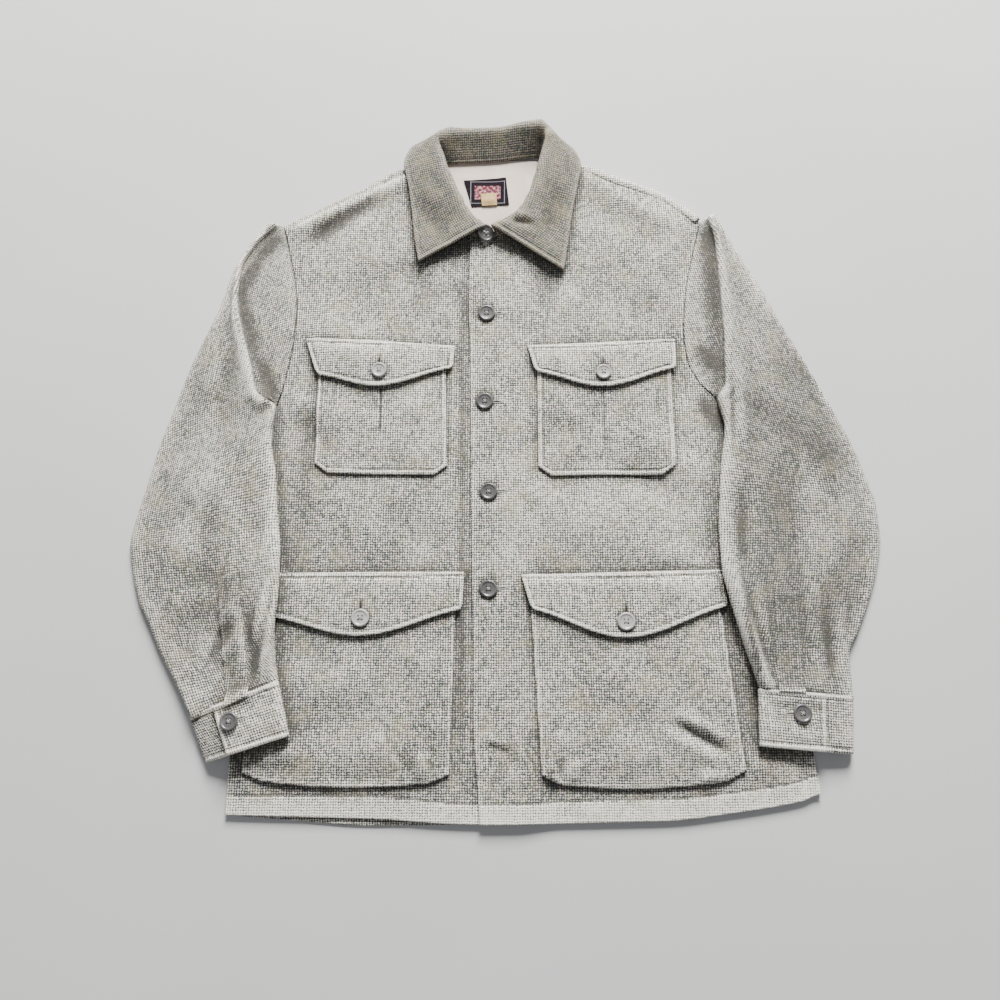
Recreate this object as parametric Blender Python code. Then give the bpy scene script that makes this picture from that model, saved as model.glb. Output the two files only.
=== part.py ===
"""Mackinaw jacket, buttoned and laid out flat on its back, front up.

Lengths in the tables are millimetres. +X is the wearer's left, +Y runs from the hem to the
collar, +Z is up. The origin is on the surface the jacket lies on, under the middle of its box.
"""
import math

import bmesh
import bpy
import numpy as np
from mathutils.bvhtree import BVHTree

MM = 0.001
GAP = 0.3            # between neighbouring pieces
WOOL = 2.5           # one layer of the heavy wool
COLLAR_CLOTH = 3.4   # two layers pressed together
CUFF = 3.4
LINING = 1.2

# Where the middle of the box lies in the tables' own axes.
MIDDLE_X = 0.9
MIDDLE_Y = -1.7

# The right side and armhole of the body, and the left one, from the hem up to the shoulder point.
# The last nine rows of each are where the sleeve is sewn on.
SIDE_RIGHT = (
    # x, y
    (-298, -409), (-298, -372), (-296, -320), (-293, -262), (-289, -205), (-284, -150),
    (-280, -95), (-275, -40), (-271, 8),
    (-268, 44), (-262, 72), (-256, 103), (-252, 135), (-251, 170), (-255, 208), (-262, 238),
    (-268, 262), (-274, 283),
)
SIDE_LEFT = (
    # x, y
    (338, -389), (334, -352), (326, -306), (318, -262), (308, -212), (297, -158),
    (286, -100), (274, -40), (263, 10),
    (250, 54), (230, 78), (218, 105), (215, 135), (217, 170), (222, 205), (229, 235),
    (236, 262), (243, 287),
)

HEM_X = (-298, -222, -142, -60, -28, 96, 176, 238, 314, 338)
HEM_Y = (-409, -411, -413, -418, -419, -417, -415, -408, -396, -389)
BACK_HEM_Y = (-409, -415, -420, -419, -414, -411, -409, -402, -391, -387)
FRONT_EDGE_Y = (-419, -364, -322, -241, -112, 108, 180, 268)
FRONT_EDGE_X = (-27, -31, -34, -35, -38, -41, -43, -42)
UNDER_EDGE_X = 6     # the hidden edge of the right front, under the left one

# Tops of the fronts: the shoulder seam, then the neckline down to the front edge.
TOP_RIGHT = (
    # x, y
    (-274, 283), (-232, 305), (-180, 333), (-125, 361), (-104, 357), (-90, 336), (-76, 311),
    (-58, 286), (-34, 272), (6, 268),
)
TOP_LEFT = (
    # x, y
    (243, 287), (228, 298), (194, 322), (144, 342), (90, 362), (72, 352), (60, 332), (46, 307),
    (24, 285), (-2, 273), (-42, 270),
)
BACK_TOP_X = (-274, -232, -180, -125, -74, -36, 8, 44, 92, 144, 194, 228, 243)
BACK_TOP_Y = (283, 305, 333, 361, 363, 364, 370, 374, 369, 349, 329, 305, 290)

# Soft folds and hollows of the fronts, each a stroke from one end to the other.
FRONT_FOLDS = (
    # x0, y0, x1, y1, width, height
    (-120, 90, -250, 175, 34, 2.0),
    (-150, 220, -190, 290, 40, 1.8),
    (-30, -300, -34, 120, 22, -1.0),
    (-90, -60, -200, -110, 45, 2.4),
    (70, -80, 200, -120, 45, 2.2),
    (60, 40, 60, -60, 34, -1.2),
    (150, 190, 210, 290, 42, 2.0),
    (110, 250, 190, 160, 30, -1.0),
    (-100, -395, 180, -395, 22, -0.8),
)

# Sleeves: one row for each section, from the shoulder point to the cuff.
# seam: where the section starts, on the armhole, or the inner edge below the armpit.
# outer: the outer edge. valley: from the seam to the rolled fold. fold, crown: heights of the
# fold, where it isn't raised by the body under it, and of the middle.
SLEEVE_RIGHT = (
    # seam_x, seam_y, outer_x, outer_y, valley, fold, crown
    (-274, 283, -292, 285, 7, 10.0, 9.5),
    (-268, 262, -319, 247, 40, 14.0, 9.0),
    (-262, 238, -334, 212, 62, 17.0, 9.0),
    (-255, 208, -345, 171, 72, 19.0, 10.0),
    (-251, 170, -361, 130, 69, 20.0, 11.0),
    (-252, 135, -374, 95, 58, 20.0, 11.5),
    (-256, 103, -386, 54, 45, 19.0, 12.0),
    (-262, 72, -395, 24, 31, 18.0, 12.0),
    (-268, 44, -405, -12, 0, 17.0, 12.0),
    (-271, 8, -413, -50, 0, 15.0, 12.0),
    (-263, -40, -421, -84, 0, 16.0, 12.0),
    (-257, -90, -426, -115, 0, 17.0, 12.0),
    (-251, -130, -421, -145, 0, 19.0, 12.0),
    (-250, -170, -411, -180, 0, 22.0, 12.5),
    (-252, -205, -397, -208, 0, 23.0, 13.0),
    (-251, -233, -382, -238, 0, 21.0, 13.0),
    (-249, -252, -362, -272, 0, 20.5, 13.0),
    (-246, -266, -344, -304, 0, 20.5, 13.0),
)
SLEEVE_LEFT = (
    # seam_x, seam_y, outer_x, outer_y, valley, fold, crown
    (243, 287, 262, 299, 10, 12.0, 9.0),
    (236, 262, 281, 257, 22, 17.0, 9.0),
    (229, 235, 296, 229, 30, 19.0, 10.0),
    (222, 205, 312, 198, 38, 20.0, 11.0),
    (217, 170, 329, 161, 44, 20.0, 12.0),
    (215, 135, 348, 123, 47, 20.0, 12.0),
    (218, 105, 364, 90, 43, 19.0, 12.0),
    (230, 78, 379, 58, 31, 18.0, 12.0),
    (250, 54, 393, 28, 0, 17.0, 12.0),
    (256, 20, 407, -5, 0, 16.0, 12.0),
    (250, -20, 419, -42, 0, 17.0, 12.0),
    (245, -65, 427, -75, 0, 17.0, 12.0),
    (242, -105, 428, -108, 0, 18.0, 12.0),
    (242, -145, 421, -145, 0, 21.0, 12.5),
    (247, -175, 408, -182, 0, 23.0, 13.0),
    (255, -206, 395, -212, 0, 22.5, 13.0),
    (265, -240, 381, -243, 0, 21.0, 13.0),
    (275, -273, 381, -281, 0, 20.5, 13.0),
)
SEAM_ROWS = 9        # sleeve rows that lie on the armhole
UNDERARM = 14.0      # the sleeve's own seam, in from its inner edge on the under side

# Cuffs: corners at the sleeve and at the open end, and where the overlapping edge lies.
CUFFS = {
    # inner_top, outer_top, inner_end, outer_end, overlap (share of the width from the inner edge)
    "right": ((-245, -269), (-344, -308), (-230, -327), (-322, -356), 0.70),
    "left": ((275, -277), (381, -286), (272, -338), (376, -347), 0.68),
}
ROLL_HEIGHT = 7.6    # the least height of the sleeve's inner roll, between its two layers
BODY_STEP = 13.0     # how far out from the body's side the under layers come down to the surface

# Collar: stations along the neck seam from the right front end round the back to the left one.
# lay: 90 where the fall lies on the stand, 0 where it hangs beside it, -90 where it lies under.
COLLAR = (
    # seam_x, seam_y, seam_z, roll_x, roll_y, roll_z, edge_x, edge_y, edge_z, lay
    (-46, 266, 12.8, -33, 275, 19, -105, 229, 12.5, 90),
    (-61, 283, 9.5, -43, 293, 19, -110, 258, 12.5, 90),
    (-78, 310, 9.5, -54, 313, 22, -115, 300, 12.5, 85),
    (-91, 336, 9.5, -66, 339, 25, -120, 336, 12.0, 70),
    (-101, 358, 9.0, -76, 366, 27, -126, 366, 9.0, 45),
    (-86, 367, 7.0, -84, 392, 27, -113, 394, 5.0, 0),
    (-62, 368, 7.0, -66, 407, 22, -84, 398, 3.0, -55),
    (-38, 369, 7.0, -38, 408, 18, -42, 386, 2.6, -85),
    (-8, 371, 7.0, -8, 409, 18, -8, 385, 2.6, -90),
    (20, 375, 7.0, 22, 414, 22, 24, 388, 2.6, -80),
    (42, 377, 7.0, 44, 415, 27, 60, 398, 3.0, -50),
    (58, 374, 7.5, 53, 397, 29, 84, 391, 5.0, 0),
    (76, 358, 9.0, 45, 367, 27, 96, 364, 9.0, 45),
    (63, 333, 9.5, 38, 339, 24, 91, 332, 12.0, 70),
    (50, 308, 10.5, 28, 311, 22, 84, 296, 12.5, 85),
    (30, 286, 12.2, 14, 291, 20.5, 78, 255, 12.5, 90),
    (4, 268, 12.8, -5, 277, 19.5, 72, 218, 12.5, 90),
)
COLLAR_ROLL = 4.5    # radius of the rolled fold

# Pockets and flaps: outlines as a left and a right edge, both from the bottom up, and how far
# the middle stands off the front.
POCKETS = {
    # name: (left edge, right edge, sag of the bottom, height of the swell, corner cut)
    "chest_pocket_right": (((-221, -34), (-222, 117)), ((-66, -37), (-70, 116)), 2, 1.6, 12),
    "chest_pocket_left": (((38, -38), (38, 116)), ((198, -37), (198, 117)), 0, 1.6, 12),
    "hip_pocket_right": (((-283, -371), (-274, -161)), ((-60, -374), (-54, -161)), 9, 3.4, 6),
    "hip_pocket_left": (((39, -376), (27, -161)), ((259, -371), (238, -161)), 9, 3.4, 8),
}
FLAPS = {
    # name: (left top, right top, left bottom, right bottom, point, swell)
    "chest_flap_right": ((-238, 131), (-59, 122), (-222, 84), (-62, 93), (-148, 69), 1.0),
    "chest_flap_left": ((27, 121), (204, 131), (36, 88), (203, 93), (117, 69), 1.0),
    "hip_flap_right": ((-268, -151), (-46, -149), (-262, -200), (-48, -192), (-158, -221), 1.2),
    "hip_flap_left": ((18, -153), (244, -147), (29, -192), (249, -188), (134, -223), 1.2),
}
FLAP_THICK = 3.0
PLACKET_THICK = 1.6

BUTTON_RADIUS = 10.0
FLAP_BUTTON_RADIUS = 9.0
BUTTONS = {
    # name: (x, y, radius)
    "button_front_1": (-22.5, 265, BUTTON_RADIUS),
    "button_front_2": (-21.5, 163.5, BUTTON_RADIUS),
    "button_front_3": (-23.5, 52.5, BUTTON_RADIUS),
    "button_front_4": (-18.5, -56.5, BUTTON_RADIUS),
    "button_front_5": (-18.5, -168.5, BUTTON_RADIUS),
    "button_chest_right": (-147.5, 87.5, FLAP_BUTTON_RADIUS),
    "button_chest_left": (116.5, 86.5, FLAP_BUTTON_RADIUS),
    "button_hip_right": (-159.5, -201.5, BUTTON_RADIUS),
    "button_hip_left": (133.5, -205.5, BUTTON_RADIUS),
    "button_cuff_right": (-294.0, -311.5, BUTTON_RADIUS),
    "button_cuff_left": (319.5, -303.5, BUTTON_RADIUS),
}

PLACKETS = {
    # name: (corners: outer top, inner top, outer bottom, inner bottom)
    "placket_right": ((-322, -158), (-298, -148), (-305, -276), (-281, -264)),
    "placket_left": ((325, -172), (298, -173), (325, -268), (297, -266)),
}

COLOURS = {
    # finish: (red, green, blue, roughness)
    "wool": (0.42, 0.41, 0.37, 0.95),
    "collar_wool": (0.33, 0.32, 0.28, 0.95),
    "lining": (0.72, 0.64, 0.56, 0.85),
    "label": (0.05, 0.03, 0.04, 0.8),
    "tab": (0.55, 0.38, 0.18, 0.8),
    "dark_button": (0.12, 0.12, 0.12, 0.35),
    "light_button": (0.62, 0.61, 0.58, 0.35),
}

solids = {}          # name: (points in millimetres, faces), for what is laid on them


def smooth(knots, values, at):
    """A smooth curve through the values at the knots, with no overshoot, read at any places."""
    knots = np.asarray(knots, float)
    values = np.asarray(values, float)
    at = np.clip(np.asarray(at, float), knots[0], knots[-1])
    runs = np.diff(knots).reshape((-1,) + (1,) * (values.ndim - 1))
    rises = np.diff(values, axis=0) / runs
    turns = rises[:-1] * rises[1:]
    both = rises[:-1] + rises[1:]
    steady = np.where(turns > 0, 2 * turns / np.where(both == 0, 1, both), 0)
    slopes = np.concatenate((rises[:1], steady, rises[-1:]))
    i = np.clip(np.searchsorted(knots, at, side="right") - 1, 0, len(knots) - 2)
    step = knots[i + 1] - knots[i]
    t = (at - knots[i]) / step
    if values.ndim > 1:
        t = t[..., None]
        step = step[..., None]
    rise = values[i + 1] - values[i]
    return (values[i] + rise * t * t * (3 - 2 * t)
            + step * t * (1 - t) * ((1 - t) * slopes[i] - t * slopes[i + 1]))


def ramp(x, low, high):
    """0 below low, 1 above high, and a soft step between."""
    t = np.clip((np.asarray(x, float) - low) / (high - low), 0, 1)
    return t * t * (3 - 2 * t)


def stroke(x, y, x0, y0, x1, y1, width):
    """1 along a line, fading to 0 at its sides and its two ends."""
    along = np.array((x1 - x0, y1 - y0), float)
    length = math.hypot(*along)
    along /= length
    s = (x - x0) * along[0] + (y - y0) * along[1]
    off = -(x - x0) * along[1] + (y - y0) * along[0]
    ends = ramp(s, -0.2 * length, 0.3 * length) * (1 - ramp(s, 0.7 * length, 1.2 * length))
    return np.exp(-((off / width) ** 2)) * ends


def finish(kind):
    """The material of one finish, made once."""
    if kind in bpy.data.materials:
        return bpy.data.materials[kind]
    red, green, blue, roughness = COLOURS[kind]
    material = bpy.data.materials.new(kind)
    material.use_nodes = True
    shader = material.node_tree.nodes["Principled BSDF"]
    shader.inputs["Base Color"].default_value = (red, green, blue, 1)
    shader.inputs["Roughness"].default_value = roughness
    shader.inputs["Metallic"].default_value = 0
    return material


def solid(name, points, faces, kind):
    """Makes the named object from points in millimetres and keeps them for what lies on it."""
    middle = np.array((MIDDLE_X, MIDDLE_Y, 0.0))
    mesh = bpy.data.meshes.new(name)
    mesh.from_pydata([tuple((p - middle) * MM) for p in points], [], faces)
    work = bmesh.new()
    work.from_mesh(mesh)
    bmesh.ops.triangulate(work, faces=work.faces, quad_method="FIXED")
    bmesh.ops.recalc_face_normals(work, faces=work.faces)
    work.to_mesh(mesh)
    work.free()
    mesh.shade_smooth()
    mesh.set_sharp_from_angle(angle=math.radians(50))
    mesh.materials.append(finish(kind))
    bpy.context.scene.collection.objects.link(bpy.data.objects.new(name, mesh))
    solids[name] = ([tuple(p) for p in points], faces)


def normals(grid):
    """Unit normals of a grid of points, rows by columns."""
    across = np.gradient(grid, axis=1)
    along = np.gradient(grid, axis=0)
    out = np.cross(across, along)
    return out / np.maximum(np.linalg.norm(out, axis=2, keepdims=True), 1e-9)


def wall(name, grid, thickness, kind):
    """A closed wall of even thickness round a grid of middle points."""
    rows, cols = grid.shape[:2]
    half = normals(grid) * thickness / 2
    upper = (grid + half).reshape(-1, 3)
    lower = (grid - half).reshape(-1, 3)
    count = rows * cols
    faces = []
    for r in range(rows - 1):
        for c in range(cols - 1):
            a = r * cols + c
            faces.append((a, a + 1, a + cols + 1, a + cols))
            faces.append((count + a, count + a + cols, count + a + cols + 1, count + a + 1))
    rim = [c for c in range(cols)]
    rim += [r * cols + cols - 1 for r in range(1, rows)]
    rim += [(rows - 1) * cols + c for c in range(cols - 2, -1, -1)]
    rim += [r * cols for r in range(rows - 2, 0, -1)]
    for a, b in zip(rim, rim[1:] + rim[:1]):
        faces.append((a, count + a, count + b, b))
    solid(name, np.vstack((upper, lower)), faces, kind)


trees = {}           # name: search tree of that solid's faces
REACH = 3.0          # how near an edge has to be to lift what lies over it
SPOTS = np.linspace(0, 1, 7)    # where each face of a laid piece is tried


def ground_under(x, y, names, reach=0.0):
    """Height of the highest of the named solids within reach of a place, or None beside them."""
    spots = [(x, y)]
    if reach > 0:
        spots += [(x + reach, y), (x - reach, y), (x, y + reach), (x, y - reach)]
    best = None
    for name in names:
        if name not in trees:
            trees[name] = BVHTree.FromPolygons(*solids[name])
        for spot_x, spot_y in spots:
            hit = trees[name].ray_cast((float(spot_x), float(spot_y), 500.0), (0, 0, -1))[0]
            if hit is not None and (best is None or hit.z > best):
                best = hit.z
    return best


def lay(grid, thickness, names, gap=GAP):
    """Lays a grid of (x, y, height above what is under it) on the named solids, clear of them."""
    rise = grid[..., 2].copy()
    rows, cols = grid.shape[:2]
    base = np.full((rows, cols), np.nan)
    for r in range(rows):
        for c in range(cols):
            found = ground_under(grid[r, c, 0], grid[r, c, 1], names, REACH)
            if found is not None:
                base[r, c] = found
    base = np.where(np.isnan(base), np.nanmin(base), base)
    out = grid.copy()
    out[..., 2] = base + gap + thickness / 2 + rise
    for repeat in range(4):
        under = out - normals(out) * thickness / 2
        need = np.zeros((rows, cols))
        for r in range(rows - 1):
            for c in range(cols - 1):
                for s in SPOTS:
                    for t in SPOTS:
                        p = ((under[r, c] * (1 - s) + under[r + 1, c] * s) * (1 - t)
                             + (under[r, c + 1] * (1 - s) + under[r + 1, c + 1] * s) * t)
                        found = ground_under(p[0], p[1], names, REACH)
                        if found is not None and found + gap > p[2]:
                            lack = found + gap - p[2]
                            block = need[r:r + 2, c:c + 2]
                            np.maximum(block, lack, out=block)
        if need.max() < 0.02:
            break
        out[..., 2] += need
    return out


def body_rows(side, hem_y, top_y, front_x, columns):
    """Places of a body panel, from its side to its other edge, hem to shoulder."""
    side = np.array(side, float)
    share = (side[:, 1] - side[0, 1]) / (side[-1, 1] - side[0, 1])
    places = np.zeros((len(side), len(columns), 2))
    for c, u in enumerate(columns):
        x_hem = side[0, 0] + (front_x(hem_y(0)) - side[0, 0]) * u
        for r, v in enumerate(share):
            x = side[r, 0]
            for repeat in range(4):
                y = hem_y(x_hem) + (top_y(x) - hem_y(x_hem)) * v
                y = side[r, 1] if u == 0 else y
                x = side[r, 0] + (front_x(y) - side[r, 0]) * u
            places[r, c] = (x, y)
    return places


def front_swell(x, y):
    """How far the fronts stand off the back: low at every edge, with soft folds between."""
    left_side = np.interp(y, [p[1] for p in SIDE_RIGHT], [p[0] for p in SIDE_RIGHT])
    right_side = np.interp(y, [p[1] for p in SIDE_LEFT], [p[0] for p in SIDE_LEFT])
    hem = np.interp(x, HEM_X, HEM_Y)
    edge = ramp(x - left_side, 0, 40) * ramp(right_side - x, 0, 40) * ramp(y - hem, 0, 45)
    folds = sum(height * stroke(x, y, x0, y0, x1, y1, width)
                for x0, y0, x1, y1, width, height in FRONT_FOLDS)
    return edge * (1.2 + folds) * (1 - ramp(y, 250, 290))


def front_height(x, y):
    """Middle height of a single front over the back and the neck lining."""
    over_lining = ramp(x, -150, -115) * (1 - ramp(x, 95, 130)) * ramp(y, 205, 238)
    return WOOL + GAP + WOOL / 2 + over_lining * (LINING + GAP) + front_swell(x, y)


def make_back():
    """The back, flat on the surface from hem to neck."""
    right = np.array(SIDE_RIGHT, float)
    left = np.array(SIDE_LEFT, float)
    share = np.linspace(0, 1, 15)
    grid = np.zeros((len(right), len(share), 3))
    down = (right[:, 1] - right[0, 1]) / (right[-1, 1] - right[0, 1])
    for c, u in enumerate(share):
        top_x = right[-1, 0] + (left[-1, 0] - right[-1, 0]) * u
        for r, v in enumerate(down):
            x = right[r, 0] + (left[r, 0] - right[r, 0]) * u
            hem = np.interp(x, HEM_X, BACK_HEM_Y)
            y = hem + (np.interp(top_x, BACK_TOP_X, BACK_TOP_Y) - hem) * v
            if u == 0:
                y = right[r, 1]
            if u == 1:
                y = left[r, 1]
            grid[r, c] = (x, y, WOOL / 2)
    wall("back", grid, WOOL, "wool")


def make_neck_lining():
    """The lining that shows inside the neck, with its label and the small tab under it."""
    across = np.linspace(0, 1, 9)
    top = smooth((0, 0.25, 0.6, 1), (357, 363, 366, 360), across)
    grid = np.zeros((5, 9, 3))
    for r, v in enumerate(np.linspace(0, 1, 5)):
        grid[r, :, 0] = -104 + 186 * across
        grid[r, :, 1] = 246 + (top - 246) * v
        grid[r, :, 2] = WOOL + GAP + LINING / 2
    wall("neck_lining", grid, LINING, "lining")
    place_patch("neck_label", ((-51, 345), (2, 349), (-41, 308), (6, 311)), 0.7, "label",
                ("neck_lining",))
    place_patch("size_tab", ((-30, 326), (-10, 327), (-28, 309), (-9, 310)), 0.9, "tab",
                ("neck_label",))


def place_patch(name, corners, thickness, kind, names, rise=0.0, rows=2, cols=2):
    """A four-cornered piece laid on others. Corners: top left, top right, then the bottom."""
    top_left, top_right, low_left, low_right = (np.array(p, float) for p in corners)
    grid = np.zeros((rows, cols, 3))
    for r, v in enumerate(np.linspace(0, 1, rows)):
        for c, u in enumerate(np.linspace(0, 1, cols)):
            low = low_left + (low_right - low_left) * u
            high = top_left + (top_right - top_left) * u
            grid[r, c, :2] = low + (high - low) * v
            grid[r, c, 2] = rise
    wall(name, lay(grid, thickness, names), thickness, kind)


def make_fronts():
    """The right front and, over it past the middle, the left front with the buttons."""
    columns = np.array((0, 0.06, 0.16, 0.28, 0.4, 0.52, 0.64, 0.76, 0.88, 1.0))

    def right_top(x):
        return np.interp(x, *zip(*TOP_RIGHT))

    def left_top(x):
        return np.interp(x, *zip(*TOP_LEFT[::-1]))

    def hem(x):
        return np.interp(x, HEM_X, HEM_Y)

    places = body_rows(SIDE_RIGHT, hem, right_top, lambda y: UNDER_EDGE_X, columns)
    heights = front_height(places[..., 0], places[..., 1])
    wall("front_right", np.dstack((places, heights)), WOOL, "wool")

    places = body_rows(SIDE_LEFT, hem, left_top,
                       lambda y: np.interp(y, FRONT_EDGE_Y, FRONT_EDGE_X), columns)
    step = (WOOL + GAP + 0.4) * (1 - ramp(places[..., 0], 12, 60))
    heights = front_height(places[..., 0], places[..., 1]) + step
    wall("front_left", np.dstack((places, heights))[:, ::-1], WOOL, "wool")


def highest_under(table, side, names, step=4):
    """The highest point of the body under the inner part of each sleeve section."""
    table = np.array(table, float)[:, :4]
    places = np.linspace(0, len(table) - 1, step * (len(table) - 1) + 1)
    lines = smooth(np.arange(len(table)), table, places)
    side_y = [p[1] for p in side]
    side_x = [p[0] for p in side]
    found = []
    for line in lines:
        seam = line[:2]
        out = (line[2:4] - seam) / np.linalg.norm(line[2:4] - seam)
        edge = abs(np.interp(seam[1], side_y, side_x) - seam[0])
        best = 0.0
        for p in np.arange(0, edge + 1, 4.0):
            spot = seam + out * p
            best = max(best, ground_under(spot[0], spot[1], names, REACH) or 0.0)
        found.append(best)
    rows = range(len(table))
    return [max(found[max(0, step * k - step + 1):step * k + step]) for k in rows]


def sleeve_section(row, body_edge, rest, kind):
    """Middle points round one section, as distance from the seam end and height."""
    seam_x, seam_y, outer_x, outer_y, valley, fold, crown = row
    width = math.hypot(outer_x - seam_x, outer_y - seam_y)
    floor = WOOL / 2
    outer = width - floor
    span = width - valley
    valley_z = WOOL + GAP + floor
    if kind == "closed":
        fold = max(fold, rest + ROLL_HEIGHT)
        inner = ((UNDERARM - 1.2, rest), (5.5, rest + 0.2), (2.2, rest + 1.8),
                 (1.25, 0.5 * (rest + fold)), (2.6, fold - 1.8), (7.0, fold))
        under = ((body_edge + BODY_STEP + 4, floor), (body_edge + 5, rest), (UNDERARM, rest))
        if body_edge + 5 <= UNDERARM + 3:
            under = ((UNDERARM + BODY_STEP + 8, floor + 0.1 * (rest - floor)),
                     (UNDERARM + 6, 0.3 * floor + 0.7 * rest), (UNDERARM, rest))
        crown = max(crown, rest + 3.4 - 0.35 * max(0.0, 0.5 * width - body_edge - 5))
    elif kind == "pit":
        inner = ((3.6, valley_z), (2.3, valley_z + 0.8), (1.7, valley_z + 2.4),
                 (1.6, 0.5 * (valley_z + fold) + 1), (3.0, fold - 1.6), (8.0, fold))
        under = ((0.5 * width, floor), (0.25 * width, floor), (7.5, floor))
    else:
        lean = min(1.0, width / 90.0)
        inner = ((GAP, valley_z), (0.45 * valley + GAP, valley_z), (0.9 * valley, valley_z + 0.3),
                 (valley + 1.5 * lean, 0.6 * valley_z + 0.4 * fold),
                 (valley + 0.5 * lean, fold - 2.6), (valley + 0.14 * span + 0.8, fold))
        under = ((0.5 * width, floor), (0.25 * width, floor), (GAP, floor))
    middle = ((valley + 0.32 * span, 0.5 * (fold + crown)), (valley + 0.55 * span, crown),
              (valley + 0.8 * span, crown - 1.5))
    corner = min(0.07 * span + 2.0, 0.3 * span)
    end = ((outer - 0.4 * corner, crown - 3.6), (outer, 4.4),
           (outer - corner, floor), (max(0.72 * width, valley + 0.3 * span), floor))
    return np.array(inner + middle + end + under)


def sleeve_grid(table, side, names, steps):
    """Middle points of a sleeve: its sections laid along the table's rows."""
    side_y = [p[1] for p in side]
    side_x = [p[0] for p in side]
    grid = []
    for k, (row, high) in enumerate(zip(table, highest_under(table, side, names))):
        seam = np.array(row[0:2], float)
        outer = np.array(row[2:4], float)
        out = (outer - seam) / np.linalg.norm(outer - seam)
        body_edge = abs(np.interp(seam[1], side_y, side_x) - seam[0])
        rest = (high + GAP if high > 0 else 0) + WOOL / 2
        kind = "closed" if k >= SEAM_ROWS else "pit" if k == SEAM_ROWS - 1 else "open"
        section = sleeve_section(row, body_edge, rest, kind)
        knots = np.linspace(0, 1, len(section))
        points = smooth(knots, section, np.linspace(0, 1, steps))
        line = np.zeros((steps, 3))
        line[:, :2] = seam + out * points[:, :1]
        line[:, 2] = np.maximum(points[:, 1], WOOL / 2)
        grid.append(line)
    return np.array(grid)


def make_sleeves():
    """Two sleeves, flattened, each folded over into a valley beside its armhole."""
    for hand, table, side in (("right", SLEEVE_RIGHT, SIDE_RIGHT),
                              ("left", SLEEVE_LEFT, SIDE_LEFT)):
        names = ("back", "front_" + hand, "hip_pocket_" + hand, "hip_flap_" + hand)
        grid = sleeve_grid(table, side, names, 23)
        if hand == "left":
            grid = grid[:, ::-1]
        wall("sleeve_" + hand, grid, WOOL, "wool")


def cuff_section(width, edge, low, overlap):
    """Middle points round a cuff, from its overlapping edge to the end tucked under that."""
    layer = CUFF + GAP + 0.5
    top = low + 2 * layer
    foot = min(edge + BODY_STEP + 3, width - 8)
    return np.array((
        (overlap * width, top - 0.4), (0.45 * width, top), (0.2 * width, top), (7.0, top),
        (2.4, top - 1.6), (1.7, 0.5 * (top + low)), (2.4, low + 1.6), (7.0, low),
        (0.5 * edge, low), (edge + 5, low), (foot, 2.6), (width - 7.0, 1.9), (width - 2.6, 3.0),
        (width - 1.7, 5.2), (width - 3.0, 8.0), (width - 8.0, 10.2),
        (0.5 * (width - 8 + overlap * width), 0.5 * (10.2 + low + layer)),
        ((overlap - 0.03) * width, low + layer - 0.3), ((overlap - 0.14) * width, low + layer)))


def make_cuffs():
    """Cuffs of doubled cloth, flattened, the inner end buttoned over the outer one."""
    for hand, (inner_top, outer_top, inner_end, outer_end, overlap) in CUFFS.items():
        side = SIDE_RIGHT if hand == "right" else SIDE_LEFT
        side_y = [p[1] for p in side]
        side_x = [p[0] for p in side]
        names = ("back", "front_" + hand, "hip_pocket_" + hand)
        lines = []
        low = 0.0
        for v in np.linspace(0, 1, 4):
            inner = np.array(inner_top, float) * (1 - v) + np.array(inner_end, float) * v
            outer = np.array(outer_top, float) * (1 - v) + np.array(outer_end, float) * v
            width = np.linalg.norm(outer - inner)
            out = (outer - inner) / width
            edge = 0.0
            for p in np.arange(0, width, 3.0):
                spot = inner + out * p
                if abs(spot[0]) < abs(np.interp(spot[1], side_y, side_x)):
                    edge = p
                    low = max(low, ground_under(spot[0], spot[1], names, REACH) or 0.0)
            lines.append((inner, out, width, edge))
        grid = []
        for inner, out, width, edge in lines:
            section = cuff_section(width, edge, low + GAP + CUFF / 2, overlap)
            points = smooth(np.linspace(0, 1, len(section)), section, np.linspace(0, 1, 28))
            line = np.zeros((28, 3))
            line[:, :2] = inner + out * points[:, :1]
            line[:, 2] = np.maximum(points[:, 1], CUFF / 2)
            grid.append(line)
        grid = np.array(grid)
        if hand == "right":
            grid = grid[:, ::-1]
        wall("cuff_" + hand, grid[::-1], CUFF, "wool")


def make_collar():
    """The collar: a stand from the neck seam, a rolled fold, and the fall that turns over it."""
    table = np.array(COLLAR, float)
    knots = np.arange(len(table), dtype=float)
    fine = smooth(knots, table, np.linspace(0, len(table) - 1, 2 * len(table) - 1))
    middle = np.array((-12.0, 330.0))
    grid = []
    for row in fine:
        seam, roll, edge = row[0:3], row[3:6], row[6:9]
        angle = math.radians(row[9])
        out = np.append(roll[:2] - middle, 0.0)
        out /= np.linalg.norm(out)
        turn = math.cos(angle) * out + math.sin(angle) * np.array((0, 0, 1.0))
        tip = roll - (seam + edge) / 2
        tip -= turn * np.dot(tip, turn)
        tip /= np.linalg.norm(tip)
        lower = roll - tip * COLLAR_ROLL - turn * COLLAR_ROLL
        upper = roll - tip * COLLAR_ROLL + turn * COLLAR_ROLL
        section = np.array((seam, seam * 0.5 + lower * 0.5, lower, roll, upper,
                            upper * 0.66 + edge * 0.34, upper * 0.3 + edge * 0.7, edge))
        knots = np.linspace(0, 1, len(section))
        grid.append(smooth(knots, section, np.linspace(0, 1, 13)))
    grid = np.array(grid)
    grid[..., 2] = np.maximum(grid[..., 2], COLLAR_CLOTH / 2)
    wall("collar", grid, COLLAR_CLOTH, "collar_wool")


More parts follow.
